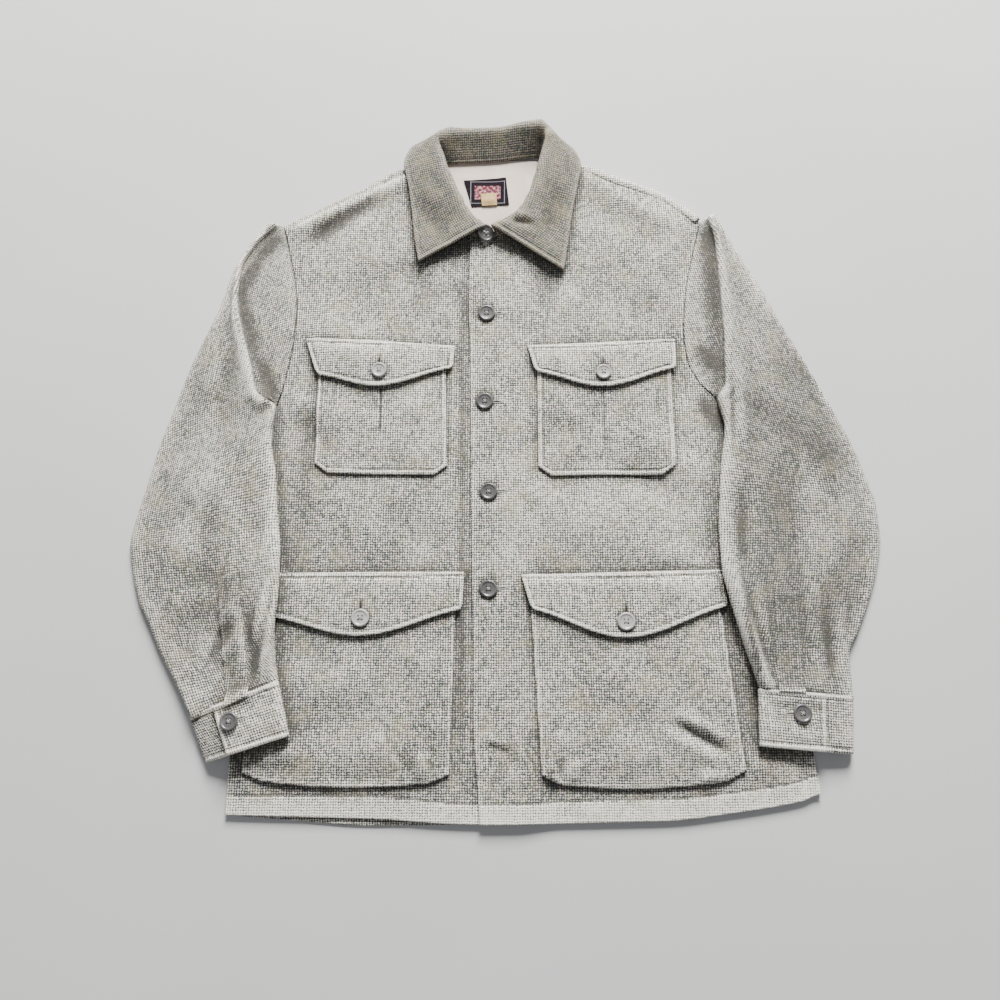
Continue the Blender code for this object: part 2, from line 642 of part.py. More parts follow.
def make_pockets():
    """Four patch pockets, their edges down on the fronts and their middles standing off."""
    for name, (left, right, sag, swell, cut) in POCKETS.items():
        hip = name.startswith("hip")
        count = 9
        grid = np.zeros((count, count, 3))
        for r, v in enumerate(np.linspace(0, 1, count)):
            a = np.array(left[0], float) * (1 - v) + np.array(left[1], float) * v
            b = np.array(right[0], float) * (1 - v) + np.array(right[1], float) * v
            for c, u in enumerate(np.linspace(0, 1, count)):
                x, y = a + (b - a) * u
                side = 2 * abs(u - 0.5)
                y -= sag * (1 - side ** 2) * (1 - v)
                corner = max(0.0, side - 0.8) / 0.2 * max(0.0, 1 - v * 6)
                y += corner * cut
                rim = ramp(min(u, 1 - u), 0, 0.12) * ramp(v, 0, 0.14)
                press = ramp(min(u, 1 - u), 0, 0.3) if hip else 1.0
                grid[r, c] = (x, y, swell * rim * (0.4 + 0.6 * press) * (1 - 0.5 * ramp(v, 0.7, 1)))
        front = "front_right" if name.endswith("right") else "front_left"
        under = ("front_right", "front_left") if front == "front_left" else (front,)
        wall(name, lay(grid, WOOL, under), WOOL, "wool")


def make_flaps():
    """Four pointed pocket flaps over the pockets."""
    for name, (top_a, top_b, low_a, low_b, point, swell) in FLAPS.items():
        rows, cols = 5, 13
        grid = np.zeros((rows, cols, 3))
        middle = (point[0] - low_a[0]) / (low_b[0] - low_a[0])
        for c, u in enumerate(np.linspace(0, 1, cols)):
            top = np.array(top_a, float) * (1 - u) + np.array(top_b, float) * u
            low = np.array(low_a, float) * (1 - u) + np.array(low_b, float) * u
            reach = u / middle if u < middle else (1 - u) / (1 - middle)
            level = low_a[1] * (1 - middle) + low_b[1] * middle
            low[1] += (point[1] - level) * (0.5 * reach + 0.5 * math.sin(reach * math.pi / 2))
            for r, v in enumerate(np.linspace(0, 1, rows)):
                grid[r, c, :2] = low + (top - low) * v
                grid[r, c, 2] = swell * (1 - v) * (0.4 + 0.6 * reach)
        hand = name.rsplit("_", 1)[1]
        pocket = name.replace("flap", "pocket")
        names = ("front_" + hand, pocket)
        wall(name, lay(grid, FLAP_THICK, names), FLAP_THICK, "wool")


def make_plackets():
    """The stitched placket that runs up each sleeve from the cuff's opening."""
    for name, corners in PLACKETS.items():
        sleeve = name.replace("placket", "sleeve")
        place_patch(name, corners, PLACKET_THICK, "wool", (sleeve,), rows=6, cols=3)


def turned(name, x, y, z, tilt, radius, kind):
    """A turned button with a raised rim round a shallow dish, closed underneath."""
    profile = (
        # share of the radius, height
        (0.30, 0.0), (0.86, 0.2), (1.0, 1.5), (0.96, 2.9), (0.84, 3.4), (0.70, 3.1), (0.58, 2.4),
        (0.30, 2.3),
    )
    sides = 18
    points = []
    for share, height in profile:
        for k in range(sides):
            a = 2 * math.pi * k / sides
            across = share * radius * math.cos(a)
            up = share * radius * math.sin(a)
            points.append((x + across, y + up, z + height + tilt[0] * across + tilt[1] * up))
    faces = []
    for ring in range(len(profile) - 1):
        for k in range(sides):
            a = ring * sides + k
            b = ring * sides + (k + 1) % sides
            faces.append((a, b, b + sides, a + sides))
    faces.append(tuple(range(sides))[::-1])
    faces.append(tuple((len(profile) - 1) * sides + k for k in range(sides)))
    solid(name, np.array(points), faces, kind)


def make_buttons():
    """Five front buttons, one on each flap and one on each cuff, flat on the cloth."""
    under = {
        "front": ("front_left",),
        "chest_right": ("chest_flap_right",), "chest_left": ("chest_flap_left",),
        "hip_right": ("hip_flap_right",), "hip_left": ("hip_flap_left",),
        "cuff_right": ("cuff_right",), "cuff_left": ("cuff_left",),
    }
    for name, (x, y, radius) in BUTTONS.items():
        place = name[len("button_"):]
        names = under["front"] if place.startswith("front") else under[place]
        ring = []
        for k in range(24):
            a = 2 * math.pi * k / 24
            for share in (0.35, 0.7, 1.0):
                px = x + share * radius * math.cos(a)
                py = y + share * radius * math.sin(a)
                found = ground_under(px, py, names)
                if found is not None:
                    ring.append((px - x, py - y, found))
        ring = np.array(ring)
        system = np.column_stack((ring[:, 0], ring[:, 1], np.ones(len(ring))))
        slope_x, slope_y, level = np.linalg.lstsq(system, ring[:, 2], rcond=None)[0]
        over = ring[:, 2] - system @ np.array((slope_x, slope_y, level))
        kind = "light_button" if place.split("_")[0] in ("chest", "hip") else "dark_button"
        turned(name, x, y, level + over.max() + GAP, (slope_x, slope_y), radius, kind)


for old in list(bpy.data.objects):
    bpy.data.objects.remove(old, do_unlink=True)

make_back()
make_neck_lining()
make_fronts()
make_pockets()
make_flaps()
make_sleeves()
make_cuffs()
make_plackets()
make_collar()
make_buttons()
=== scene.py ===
import math

import bmesh
import bpy
import numpy as np
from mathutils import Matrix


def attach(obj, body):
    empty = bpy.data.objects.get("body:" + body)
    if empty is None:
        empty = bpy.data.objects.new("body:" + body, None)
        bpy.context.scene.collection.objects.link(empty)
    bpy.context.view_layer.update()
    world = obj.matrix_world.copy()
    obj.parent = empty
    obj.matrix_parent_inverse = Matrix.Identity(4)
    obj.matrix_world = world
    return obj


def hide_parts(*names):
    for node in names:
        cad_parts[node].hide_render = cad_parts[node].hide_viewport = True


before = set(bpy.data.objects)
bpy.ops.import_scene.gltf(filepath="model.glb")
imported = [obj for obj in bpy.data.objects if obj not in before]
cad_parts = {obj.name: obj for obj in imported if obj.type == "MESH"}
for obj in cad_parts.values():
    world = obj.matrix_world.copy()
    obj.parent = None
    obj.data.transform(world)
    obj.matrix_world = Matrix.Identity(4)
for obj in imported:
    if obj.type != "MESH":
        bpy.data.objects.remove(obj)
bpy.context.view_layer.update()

# Floor, lights and camera. The jacket lies on a plain pale floor. A wide soft light stands beyond
# the collar, a little to the right, and the camera looks down from above the hem.
FLOOR_HALF = 4.0
FLOOR_LEVEL = -0.0004
KEY_PLACE = (0.35, 3.2, 1.95)
KEY_SIZE = 1.5
KEY_POWER = 560.0
FILL_PLACE = (-0.6, -1.2, 2.6)
FILL_SIZE = 2.0
FILL_POWER = 9.0
SKY = (0.93, 0.95, 1.0)
SKY_POWER = 0.19
CAMERA_PLACE = (-0.0064, -0.2758, 0.960)
CAMERA_TILT = 12.5
CAMERA_LENS = 30.6


def put(name, data):
    """Sets a mesh, light or camera in the scene as an object at the origin."""
    thing = bpy.data.objects.new(name, data)
    bpy.context.scene.collection.objects.link(thing)
    return thing


def area_light(name, place, size, power, colour):
    """A square soft light that points at the middle of the jacket."""
    lamp = bpy.data.lights.new(name, "AREA")
    lamp.size = size
    lamp.energy = power
    lamp.color = colour
    holder = put(name, lamp)
    holder.location = place
    way = -holder.location.normalized()
    holder.rotation_euler = way.to_track_quat("-Z", "Y").to_euler()


area_light("window", KEY_PLACE, KEY_SIZE, KEY_POWER, (1.0, 0.985, 0.96))
area_light("fill", FILL_PLACE, FILL_SIZE, FILL_POWER, (0.97, 0.98, 1.0))

world = bpy.data.worlds.new("studio")
world.use_nodes = True
sky = world.node_tree.nodes["Background"].inputs
sky["Color"].default_value = (*SKY, 1)
sky["Strength"].default_value = SKY_POWER
bpy.context.scene.world = world

camera = bpy.data.cameras.new("camera")
camera.lens = CAMERA_LENS
camera_holder = put("camera", camera)
camera_holder.location = CAMERA_PLACE
camera_holder.rotation_euler = (math.radians(CAMERA_TILT), 0, 0)
bpy.context.scene.camera = camera_holder


def add_node(tree, kind, settings, values):
    """Adds a node, first with its settings, then with the values or links of its sockets."""
    node = tree.nodes.new(kind)
    for key, value in settings.items():
        setattr(node, key, value)
    for key, value in values.items():
        if isinstance(value, bpy.types.NodeSocket):
            tree.links.new(value, node.inputs[key])
        else:
            node.inputs[key].default_value = value
    return node


class Flow:
    """One output of a finish's nodes, with the sums done on it."""

    def __init__(self, finish, socket):
        self.finish = finish
        self.socket = socket

    def sum(self, operation, other=None, turned=False):
        """The result of a sum with another value, which comes first if turned."""
        values = [self] if other is None else [other, self] if turned else [self, other]
        return self.finish.node("ShaderNodeMath", {"operation": operation}, dict(enumerate(values)))

    def __add__(self, other):
        return self.sum("ADD", other)

    def __sub__(self, other):
        return self.sum("SUBTRACT", other)

    def __rsub__(self, other):
        return self.sum("SUBTRACT", other, True)

    def __mul__(self, other):
        return self.sum("MULTIPLY", other)

    def __truediv__(self, other):
        return self.sum("DIVIDE", other)

    def __lt__(self, other):
        return self.sum("LESS_THAN", other)

    __radd__ = __add__
    __rmul__ = __mul__

    def clamped(self, low=0.0, high=1.0):
        """The value, kept between two limits."""
        return self.sum("MAXIMUM", low).sum("MINIMUM", high)

    def beside(self, output):
        """Another output of the same node."""
        return Flow(self.finish, self.socket.node.outputs[output])


class Finish:
    """A material and its nodes."""

    def __init__(self, name, **constants):
        self.material = bpy.data.materials.new(name)
        self.material.use_nodes = True
        self.tree = self.material.node_tree
        self.shader = self.tree.nodes["Principled BSDF"]
        for socket, value in constants.items():
            self.shader.inputs[socket.replace("_", " ")].default_value = value

    def node(self, kind, settings, values, output=0):
        """One output of a new node."""
        sockets = {key: getattr(value, "socket", value) for key, value in values.items()}
        return Flow(self, add_node(self.tree, kind, settings, sockets).outputs[output])

    def grain(self):
        """The place in the weave, in metres."""
        return self.node("ShaderNodeTexCoord", {}, {}, 2)

    def place(self):
        """The place in the whole scene, in metres."""
        return self.node("ShaderNodeTexCoord", {}, {}, 3)

    def noise(self, place, scale, detail=2.0, rough=0.5):
        """Cloudy noise, about 0.5 on average."""
        return self.node("ShaderNodeTexNoise", {},
                         {"Vector": place, "Scale": scale, "Detail": detail, "Roughness": rough})

    def blend(self, share, first, second):
        """A colour between two others."""
        return self.node("ShaderNodeMix", {"data_type": "RGBA"}, {0: share, 6: first, 7: second}, 2)

    def wear(self, **links):
        """Feeds what varies over the surface into the shader's sockets."""
        for socket, value in links.items():
            self.tree.links.new(value.socket, self.shader.inputs[socket.replace("_", " ")])

    def bump(self, height, distance, strength=1.0):
        """Relief of a height given as a share of the distance, in metres."""
        return self.node("ShaderNodeBump", {},
                         {"Height": height, "Distance": distance, "Strength": strength})


floor_finish = Finish("floor", Roughness=0.85)
floor_cloud = floor_finish.noise(floor_finish.place(), 3.0, 4.0)
floor_finish.wear(Base_Color=floor_finish.blend(floor_cloud, (0.56, 0.56, 0.56, 1),
                                                (0.64, 0.64, 0.64, 1)))
floor_mesh = bpy.data.meshes.new("floor")
floor_mesh.from_pydata([(x * FLOOR_HALF, y * FLOOR_HALF, FLOOR_LEVEL)
                        for x, y in ((-1, -1), (1, -1), (1, 1), (-1, 1))], [], [(0, 1, 2, 3)])
floor_mesh.materials.append(floor_finish.material)
floor = put("floor", floor_mesh)

# Back. One panel of heavy wool from hem to neck, flat on the floor under everything else. Along
# the left shoulder its cloth rolls up over the edge to the seam, which lies forward of it.
# Lengths in the tables are millimetres, named by the wearer's side.
MM = 0.001
GAP = 0.3
WOOL = 2.5
MIDDLE = np.array((0.9, -1.7, 0.0))
SIDE_RIGHT = (
    # x, y, from the hem to the shoulder point; the last nine rows are the armhole
    (-298, -409), (-298, -372), (-296, -320), (-293, -262), (-289, -205), (-284, -150),
    (-280, -95), (-275, -40), (-271, 8),
    (-268, 44), (-262, 72), (-256, 103), (-252, 135), (-251, 170), (-255, 208), (-262, 238),
    (-268, 262), (-274, 283),
)
SIDE_LEFT = (
    (338, -389), (334, -352), (326, -306), (318, -262), (308, -212), (297, -158),
    (286, -100), (274, -40), (263, 10),
    (250, 54), (230, 78), (218, 105), (215, 135), (217, 170), (222, 205), (229, 235),
    (236, 262), (243, 287),
)
HEM_X = (-298, -222, -142, -60, -28, 96, 176, 238, 314, 338)
HEM_Y = (-409, -411, -413, -418, -419, -417, -415, -408, -396, -389)
BACK_HEM_Y = (-409, -415, -420, -419, -414, -411, -409, -402, -391, -387)
BACK_TOP_X = (-274, -232, -180, -125, -74, -36, 8, 44, 92, 144, 194, 228, 243)
BACK_TOP_Y = (281, 302, 330, 358, 363, 364, 370, 374, 366, 345, 325, 301, 288)
BACK_SIZE = (600.0, 790.0)
BACK_EDGE = (0, 0.3, 1.1, 2.4, 5.0)
STITCH_IN = 6.0      # how far in from an edge its stitches run
WELT_END = (4.0, 5.4)    # how far in from an edge the painted highlight on the welt ends
GROOVE_SHADE = 1.5     # how dark the painted shade in the groove of the stitches is, and how wide
GROOVE_WIDTH = 0.9
EDGE = (0.0, 0.3, 1.1, 2.4, 4.0, 5.2, STITCH_IN, 6.8, 8.2, 10.5)   # columns in from an edge
WEAVE = 2.8          # one repeat of the check
CREASE_TILT = 0.55   # how far a surface may lean and still take a crease


def smooth(knots, values, at):
    """A smooth curve through the values at the knots, with no overshoot, read at any places."""
    knots = np.asarray(knots, float)
    values = np.asarray(values, float)
    at = np.clip(np.asarray(at, float), knots[0], knots[-1])
    runs = np.diff(knots).reshape((-1,) + (1,) * (values.ndim - 1))
    rises = np.diff(values, axis=0) / runs
    turns = rises[:-1] * rises[1:]
    both = rises[:-1] + rises[1:]
    steady = np.where(turns > 0, 2 * turns / np.where(both == 0, 1, both), 0)
    slopes = np.concatenate((rises[:1], steady, rises[-1:]))
    i = np.clip(np.searchsorted(knots, at, side="right") - 1, 0, len(knots) - 2)
    step = knots[i + 1] - knots[i]
    t = (at - knots[i]) / step
    if values.ndim > 1:
        shape = at.shape + (1,) * (values.ndim - 1)
        t = t.reshape(shape)
        step = step.reshape(shape)
    rise = values[i + 1] - values[i]
    return (values[i] + rise * t * t * (3 - 2 * t)
            + step * t * (1 - t) * ((1 - t) * slopes[i] - t * slopes[i + 1]))


def ramp(x, low, high):
    """0 below low, 1 above high, and a soft step between."""
    t = np.clip((np.asarray(x, float) - low) / (high - low), 0, 1)
    return t * t * (3 - 2 * t)


def bell(x, middle, width):
    """1 at the middle, fading to 0 on both sides."""
    return np.exp(-((x - middle) / width) ** 2)


def stroke(x, y, x0, y0, x1, y1, width):
    """1 along a line, fading to 0 at its sides and its two ends."""
    along = np.array((x1 - x0, y1 - y0), float)
    length = math.hypot(*along)
    along /= length
    s = (x - x0) * along[0] + (y - y0) * along[1]
    off = -(x - x0) * along[1] + (y - y0) * along[0]
    ends = ramp(s, -0.2 * length, 0.3 * length) * (1 - ramp(s, 0.7 * length, 1.2 * length))
    return bell(off, 0, width) * ends


def creases(x, y, table):
    """The sum of all strokes of a table of creases."""
    return sum(height * stroke(x, y, *line, width) for *line, width, height in table)


def places(length, step, first=EDGE, last=EDGE):
    """Distances across a piece, close together near its edges."""
    start = np.array(first, float)
    end = length - np.array(last, float)[::-1]
    count = max(2, int(round((end[0] - start[-1]) / step)) + 1)
    return np.concatenate((start[:-1], np.linspace(start[-1], end[0], count), end[1:]))


def normals(grid):
    """Unit normals of a grid of points, rows by columns."""
    out = np.cross(np.gradient(grid, axis=1), np.gradient(grid, axis=0))
    return out / np.maximum(np.linalg.norm(out, axis=2, keepdims=True), 1e-9)


def travelled(line):
    """How far each point of a line is from its start, along the line."""
    return np.concatenate(([0], np.cumsum(np.linalg.norm(np.diff(line, axis=0), axis=1))))


def read_line(line, travel, at):
    """The points of a line at some distances along it."""
    return np.column_stack([np.interp(at, travel, part) for part in line.T])


def lengths(grid, axis):
    """How far each point of a grid is along its row or column, on the cloth."""
    steps = np.linalg.norm(np.diff(grid, axis=axis), axis=2)
    return np.concatenate((np.zeros_like(np.take(steps, [0], axis)), np.cumsum(steps, axis)), axis)


def from_edges(grid, axis):
    """Each point's distance to the nearer end of its row or column."""
    start = lengths(grid, axis)
    return np.minimum(start, np.take(start, [-1], axis) - start)


def body_side(side, y):
    """Where the body's edge lies at each y, from one of the tables of its sides."""
    xs, ys = zip(*side)
    return np.interp(y, ys, xs)


def metres(points):
    """Points given in millimetres, for a mesh."""
    return ((points - MIDDLE) * MM).tolist()


laid = []            # every piece of cloth, for the painted shading that is added when all of it lies


def cloth(name, middle, thickness, grain, finish, welt_light=0.0, painted_marks=0.0):
    """A shell of even thickness with rounded edges round a grid of middle points.

    Returns the object and its outer points. grain is each point's place in the weave. The painted
    shading of a point is a painted highlight above 0 and painted shade below it: welt_light is how
    strong the painted highlight on the raised stitched edge is, with painted shade in the groove at
    its stitches, and painted_marks is added to it.
    with a dark groove at its stitches, and marks is added to it."""
    rows, cols = middle.shape[:2]
    inward = np.minimum(from_edges(middle, 0), from_edges(middle, 1))
    share = 1 - np.clip(inward / (thickness / 2), 0, 1)
    half = normals(middle) * (thickness / 2 * np.sqrt(1 - share ** 2))[..., None]
    outer = middle + half
    # Painted highlight on the raised welt, and painted shade in the groove of its stitches.
    welt_highlight_and_groove_shade = 1 - ramp(inward, *WELT_END) - GROOVE_SHADE * bell(inward, STITCH_IN, GROOVE_WIDTH)
    nap = welt_light * welt_highlight_and_groove_shade + painted_marks
    number = np.arange(rows * cols).reshape(rows, cols)
    under = number.copy()
    inner_count = (rows - 2) * (cols - 2)
    under[1:-1, 1:-1] = rows * cols + np.arange(inner_count).reshape(rows - 2, cols - 2)
    points = np.vstack((outer.reshape(-1, 3), (middle - half)[1:-1, 1:-1].reshape(-1, 3)))
    weave = np.vstack((grain.reshape(-1, 2), grain[1:-1, 1:-1].reshape(-1, 2)))
    faces = np.vstack((
        np.stack((number[:-1, :-1], number[:-1, 1:], number[1:, 1:], number[1:, :-1]), 2)
        .reshape(-1, 4),
        np.stack((under[:-1, :-1], under[1:, :-1], under[1:, 1:], under[:-1, 1:]), 2)
        .reshape(-1, 4)))
    mesh = bpy.data.meshes.new(name)
    mesh.from_pydata(metres(points), [], faces.tolist())
    layer = mesh.uv_layers.new(name="weave")
    layer.data.foreach_set("uv", (weave[faces.ravel()] * MM).ravel())
    # Painted highlights and shade, kept on each point for the wool to read.
    wear_and_painted_shading = mesh.attributes.new("nap", "FLOAT", "POINT")
    wear_and_painted_shading.data.foreach_set("value", np.concatenate((nap.ravel(), nap[1:-1, 1:-1].ravel())))
    mesh.shade_smooth()
    mesh.materials.append(finish.material)
    piece = put(name, mesh)
    laid.append(piece)
    return piece, outer


class Pile:
    """How high the cloth laid down so far reaches, on a map of small squares."""

    CELL = 1.2
    LOW = np.array((-450.0, -440.0))
    COUNT = (740, 760)
    DIP = 0.12       # how far a soft sheet presses into what it lies on

    def __init__(self):
        self.top = np.zeros(self.COUNT)

    def cells(self, x, y):
        """The squares in which some places lie."""
        across = np.clip(((x - self.LOW[0]) / self.CELL).astype(int), 0, self.COUNT[1] - 1)
        up = np.clip(((y - self.LOW[1]) / self.CELL).astype(int), 0, self.COUNT[0] - 1)
        return up, across

    def add(self, surface, times=5):
        """Lays a grid of points on the map, filled in between them."""
        rows, cols = surface.shape[:2]
        down = np.linspace(0, rows - 1, (rows - 1) * times + 1)
        side = np.linspace(0, cols - 1, (cols - 1) * times + 1)
        r = np.minimum(down.astype(int), rows - 2)
        c = np.minimum(side.astype(int), cols - 2)
        s = (down - r)[:, None, None]
        t = (side - c)[None, :, None]
        low = surface[r][:, c] * (1 - t) + surface[r][:, c + 1] * t
        high = surface[r + 1][:, c] * (1 - t) + surface[r + 1][:, c + 1] * t
        fine = (low * (1 - s) + high * s).reshape(-1, 3)
        np.maximum.at(self.top, self.cells(fine[:, 0], fine[:, 1]), fine[:, 2])

    def under(self, x, y, reach=1.6):
        """The highest point within reach of each place."""
        best = np.zeros(np.shape(x))
        for dx in (-reach, 0, reach):
            for dy in (-reach, 0, reach):
                best = np.maximum(best, self.top[self.cells(x + dx, y + dy)])
        return best

    def settle(self, x, y, turns):
        """The height of a soft sheet let down at these places: it bridges what it can't follow."""
        floor = self.under(x, y)
        z = floor.copy()
        for turn in range(turns + 2):
            wide = np.pad(z, 1, mode="edge")
            wide = (wide[:-2] + 2 * wide[1:-1] + wide[2:]) / 4
            z = (wide[:, :-2] + 2 * wide[:, 1:-1] + wide[:, 2:]) / 4
            if turn < turns:
                z = np.maximum(z, floor - self.DIP)
        return z + GAP


YARN_WAVER = 0.0025              # how far the yarns stray from straight lines, in metres
PALE_SHARE = 0.29                # how much of flat cloth without painted shading is light yarn
PAINTED_SHADING_SHARE = 0.37                 # and how much the painted shading adds to that
TAN = (0.40, 0.34, 0.20, 1)      # single warm flecks
GRIME = (0.13, 0.108, 0.062, 1)  # where the collar lay on the neck
SHADE_COLOUR = (0.07, 0.066, 0.058, 1)   # the colour of the painted shade in hollows, grooves and under edges


def wool(name, dark, light, stain=0.0, inside=0.0, hem_highlight=0.0):
    """Tightly woven wool of dark and light yarns in a tiny check, with a soft nap.

    The painted shading from cloth() makes it paler with painted highlights and darker with painted
    shade. It is worn brown by the share stain, and most where the weave's second place is below
    inside. Paler along the hem by the share hem_highlight, a painted highlight on the hem's band."""
    finish = Finish(name, Roughness=0.93, Sheen_Weight=0.12, Sheen_Roughness=0.6,
                    Sheen_Tint=(0.95, 0.94, 0.9, 1), Specular_IOR_Level=0.15)
    grain = finish.grain()
    place = finish.place()
    waver = finish.node("ShaderNodeTexNoise", {},
                        {"Vector": grain, "Scale": 260.0, "Detail": 2.0}, 1)
    waver = finish.node("ShaderNodeVectorMath", {"operation": "SCALE"},
                        {0: waver, "Scale": YARN_WAVER})
    yarn = finish.node("ShaderNodeVectorMath", {"operation": "ADD"}, {0: grain, 1: waver})
    yarn = finish.node("ShaderNodeVectorMath", {"operation": "SCALE"},
                       {0: yarn, "Scale": 1 / (WEAVE * MM)})
    ends = finish.node("ShaderNodeSeparateXYZ", {}, {0: yarn})
    across = 0.5 - 0.5 * (ends * (2 * math.pi)).sum("COSINE")
    along = 0.5 - 0.5 * (ends.beside(1) * (2 * math.pi)).sum("COSINE")
    tick = (across + along) * 0.5
    cell = finish.node("ShaderNodeVectorMath", {"operation": "FLOOR"}, {0: yarn})
    chance = finish.node("ShaderNodeTexWhiteNoise", {"noise_dimensions": "2D"}, {"Vector": cell})
    # The painted highlights and shade that cloth() and the shading pass keep on each point.
    nap = finish.node("ShaderNodeAttribute", {"attribute_name": "nap"}, {}, 2)
    hairs = finish.noise(grain, 1500.0, 2.0, 0.7)
    slubs = finish.noise(finish.node("ShaderNodeMapping", {}, {0: grain, "Scale": (420, 90, 1)}),
                         1.0, 1.0)
    flecks = finish.noise(grain, 640.0, 2.0, 0.7)
    cloud = finish.noise(place, 26.0, 3.0, 0.6)
    patch = finish.noise(place, 7.0, 2.0, 0.5)
    share = PALE_SHARE + (tick - 0.5) * (1.3 + 1.0 * chance) + (chance - 0.5) * 0.45
    # Painted shading: highlights raise and shade lowers the share of pale yarn.
    share = share + nap * PAINTED_SHADING_SHARE + (hairs - 0.5) * 1.2 + (slubs - 0.5) * 0.8
    share = share + (flecks - 0.5) * 1.9 + (cloud - 0.5) * 0.6 + (patch - 0.5) * 0.5
    # Painted highlight: the cloth below the hem's stitch line is made paler.
    if hem_highlight:
        side = finish.node("ShaderNodeSeparateXYZ", {}, {0: place})
        hem = (side - 0.16).sum("MAXIMUM", 0.0) * 0.13 - 0.394
        share = share + ((hem - side.beside(1)) * 400.0).clamped() * hem_highlight
    colour = finish.blend(share.clamped(), (*dark, 1), (*light, 1))
    colour = finish.blend(0.035, colour, chance.beside(1))
    warm = finish.noise(place, 45.0, 2.0)
    colour = finish.blend(((warm - 0.52) * 5.0).clamped() * 0.26, colour, TAN)
    if stain:
        rise = finish.node("ShaderNodeSeparateXYZ", {}, {0: grain}).beside(1)
        neck = ((inside - rise) * 90.0).clamped()
        wear_and_painted_shading = ((finish.noise(place, 14.0, 2.0) - 0.35) * 3.0).clamped()
        colour = finish.blend(wear_and_painted_shading * stain + neck * (0.04 * wear_and_painted_shading), colour, GRIME)
    # Painted shade: below 0 the painted shading blends the colour towards the shade colour.
    colour = finish.blend((nap * -0.55).clamped(high=0.75), colour, SHADE_COLOUR)
    relief = tick * 0.7 + hairs * 0.5 + flecks * 0.4 + slubs * 0.25
    finish.wear(Base_Color=colour, Roughness=0.88 + hairs * 0.12,
                Normal=finish.bump(relief, 0.0006, 0.9))
    return finish


WOOL_DARK = (0.045, 0.042, 0.036)
WOOL_LIGHT = (0.96, 0.93, 0.84)
body_wool = wool("body_wool", WOOL_DARK, WOOL_LIGHT, hem_highlight=0.12)
shaded_sleeve_wools = {      # painted shade: the sleeves' wool is darker than the body's, the left one most
    "right": wool("right_sleeve_shaded_wool", WOOL_DARK, (0.91, 0.875, 0.785)),
    "left": wool("left_sleeve_more_shaded_wool", WOOL_DARK, (0.84, 0.81, 0.735))}
pile = Pile()
seams = []           # lines of stitches: points in millimetres


def back_places():
    """Middle points of the back."""
    right = np.array(SIDE_RIGHT, float)
    left = np.array(SIDE_LEFT, float)
    u = (places(BACK_SIZE[0], 5.0, BACK_EDGE, BACK_EDGE) / BACK_SIZE[0])[None, :]
    v = (places(BACK_SIZE[1], 5.0, BACK_EDGE, BACK_EDGE) / BACK_SIZE[1])[:, None]
    right_y = right[0, 1] + (right[-1, 1] - right[0, 1]) * v
    left_y = left[0, 1] + (left[-1, 1] - left[0, 1]) * v
    right_x = smooth(right[:, 1], right[:, 0], right_y)
    left_x = smooth(left[:, 1], left[:, 0], left_y)
    x = right_x + (left_x - right_x) * u
    top_x = right[-1, 0] + (left[-1, 0] - right[-1, 0]) * u
    hem = smooth(HEM_X, BACK_HEM_Y, x)
    y = hem + (smooth(BACK_TOP_X, BACK_TOP_Y, top_x) - hem) * v
    side = (1 - ramp(u, 0, 0.03)) * (right_y - y) + ramp(u, 0.97, 1) * (left_y - y)
    y = y + side * (1 - ramp(v, 0.9, 1))
    return np.dstack((x, y, np.full(x.shape, WOOL / 2)))


ROLL_ENDS = (96, 241)
ROLL_HEIGHTS = (5.6, 0.9)    # on average, and how much it waves
ROLL_THICK = 2.0
ROLL_PROFILE = (
    # out from the edge, share of the height
    (-6.0, 0.14), (-3.0, 0.14), (-0.2, 0.16), (1.8, 0.30), (2.6, 0.55), (1.9, 0.83),
    (-0.3, 1.0), (-2.8, 1.04), (-4.9, 0.98), (-6.4, 0.86), (-7.2, 0.66),
)


def shoulder_roll():
    """The back's cloth where it rolls up over the left shoulder, as a half round strip."""
    line = np.linspace(0, 1, 60)
    x = ROLL_ENDS[0] + (ROLL_ENDS[1] - ROLL_ENDS[0]) * line
    y = smooth(BACK_TOP_X, BACK_TOP_Y, x)
    turn = np.gradient(np.column_stack((x, y)), axis=0)
    turn /= np.linalg.norm(turn, axis=1, keepdims=True)
    away = np.column_stack((-turn[:, 1], turn[:, 0]))
    height = ROLL_HEIGHTS[0] + ROLL_HEIGHTS[1] * np.sin(line * 7.0) * line
    count = len(ROLL_PROFILE)
    at = np.linspace(0, count - 1, count * 2 - 1)
    reach, lift = smooth(range(count), ROLL_PROFILE, at).T
    wide = 1 - 0.35 * (1 - ramp(line, 0, 0.15))
    grid = np.zeros((len(at), len(line), 3))
    grid[..., :2] = np.column_stack((x, y)) + (reach[:, None] * wide)[..., None] * away
    grid[..., 2] = np.maximum(lift[:, None] * (height * wide)[None] + 0.9, WOOL / 2)
    return grid[:, ::-1]


back_middle = back_places()
back, back_top = cloth("back_panel", back_middle, WOOL, back_middle[..., :2], body_wool)
pile.add(back_top)
roll_middle = shoulder_roll()
roll = cloth("back_roll", roll_middle, ROLL_THICK, roll_middle[..., :2], body_wool)[0]
joined = bmesh.new()
joined.from_mesh(back.data)
joined.from_mesh(roll.data)
joined.to_mesh(back.data)
joined.free()
laid.remove(roll)
bpy.data.objects.remove(roll, do_unlink=True)
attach(back, "root")
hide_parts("back")

# Neck lining. A smooth cream lining inside the back of the neck, with a plain dark label sewn on
# it, which has a thin pale frame and a speckled red middle, and a short tan tab on its lower edge.
LINING = 1.2
LINING_SIZE = (186.0, 114.0)
LINING_LEFT = -104
LINING_LOW = 246
LINING_TOP = (364, 370, 374, 369)


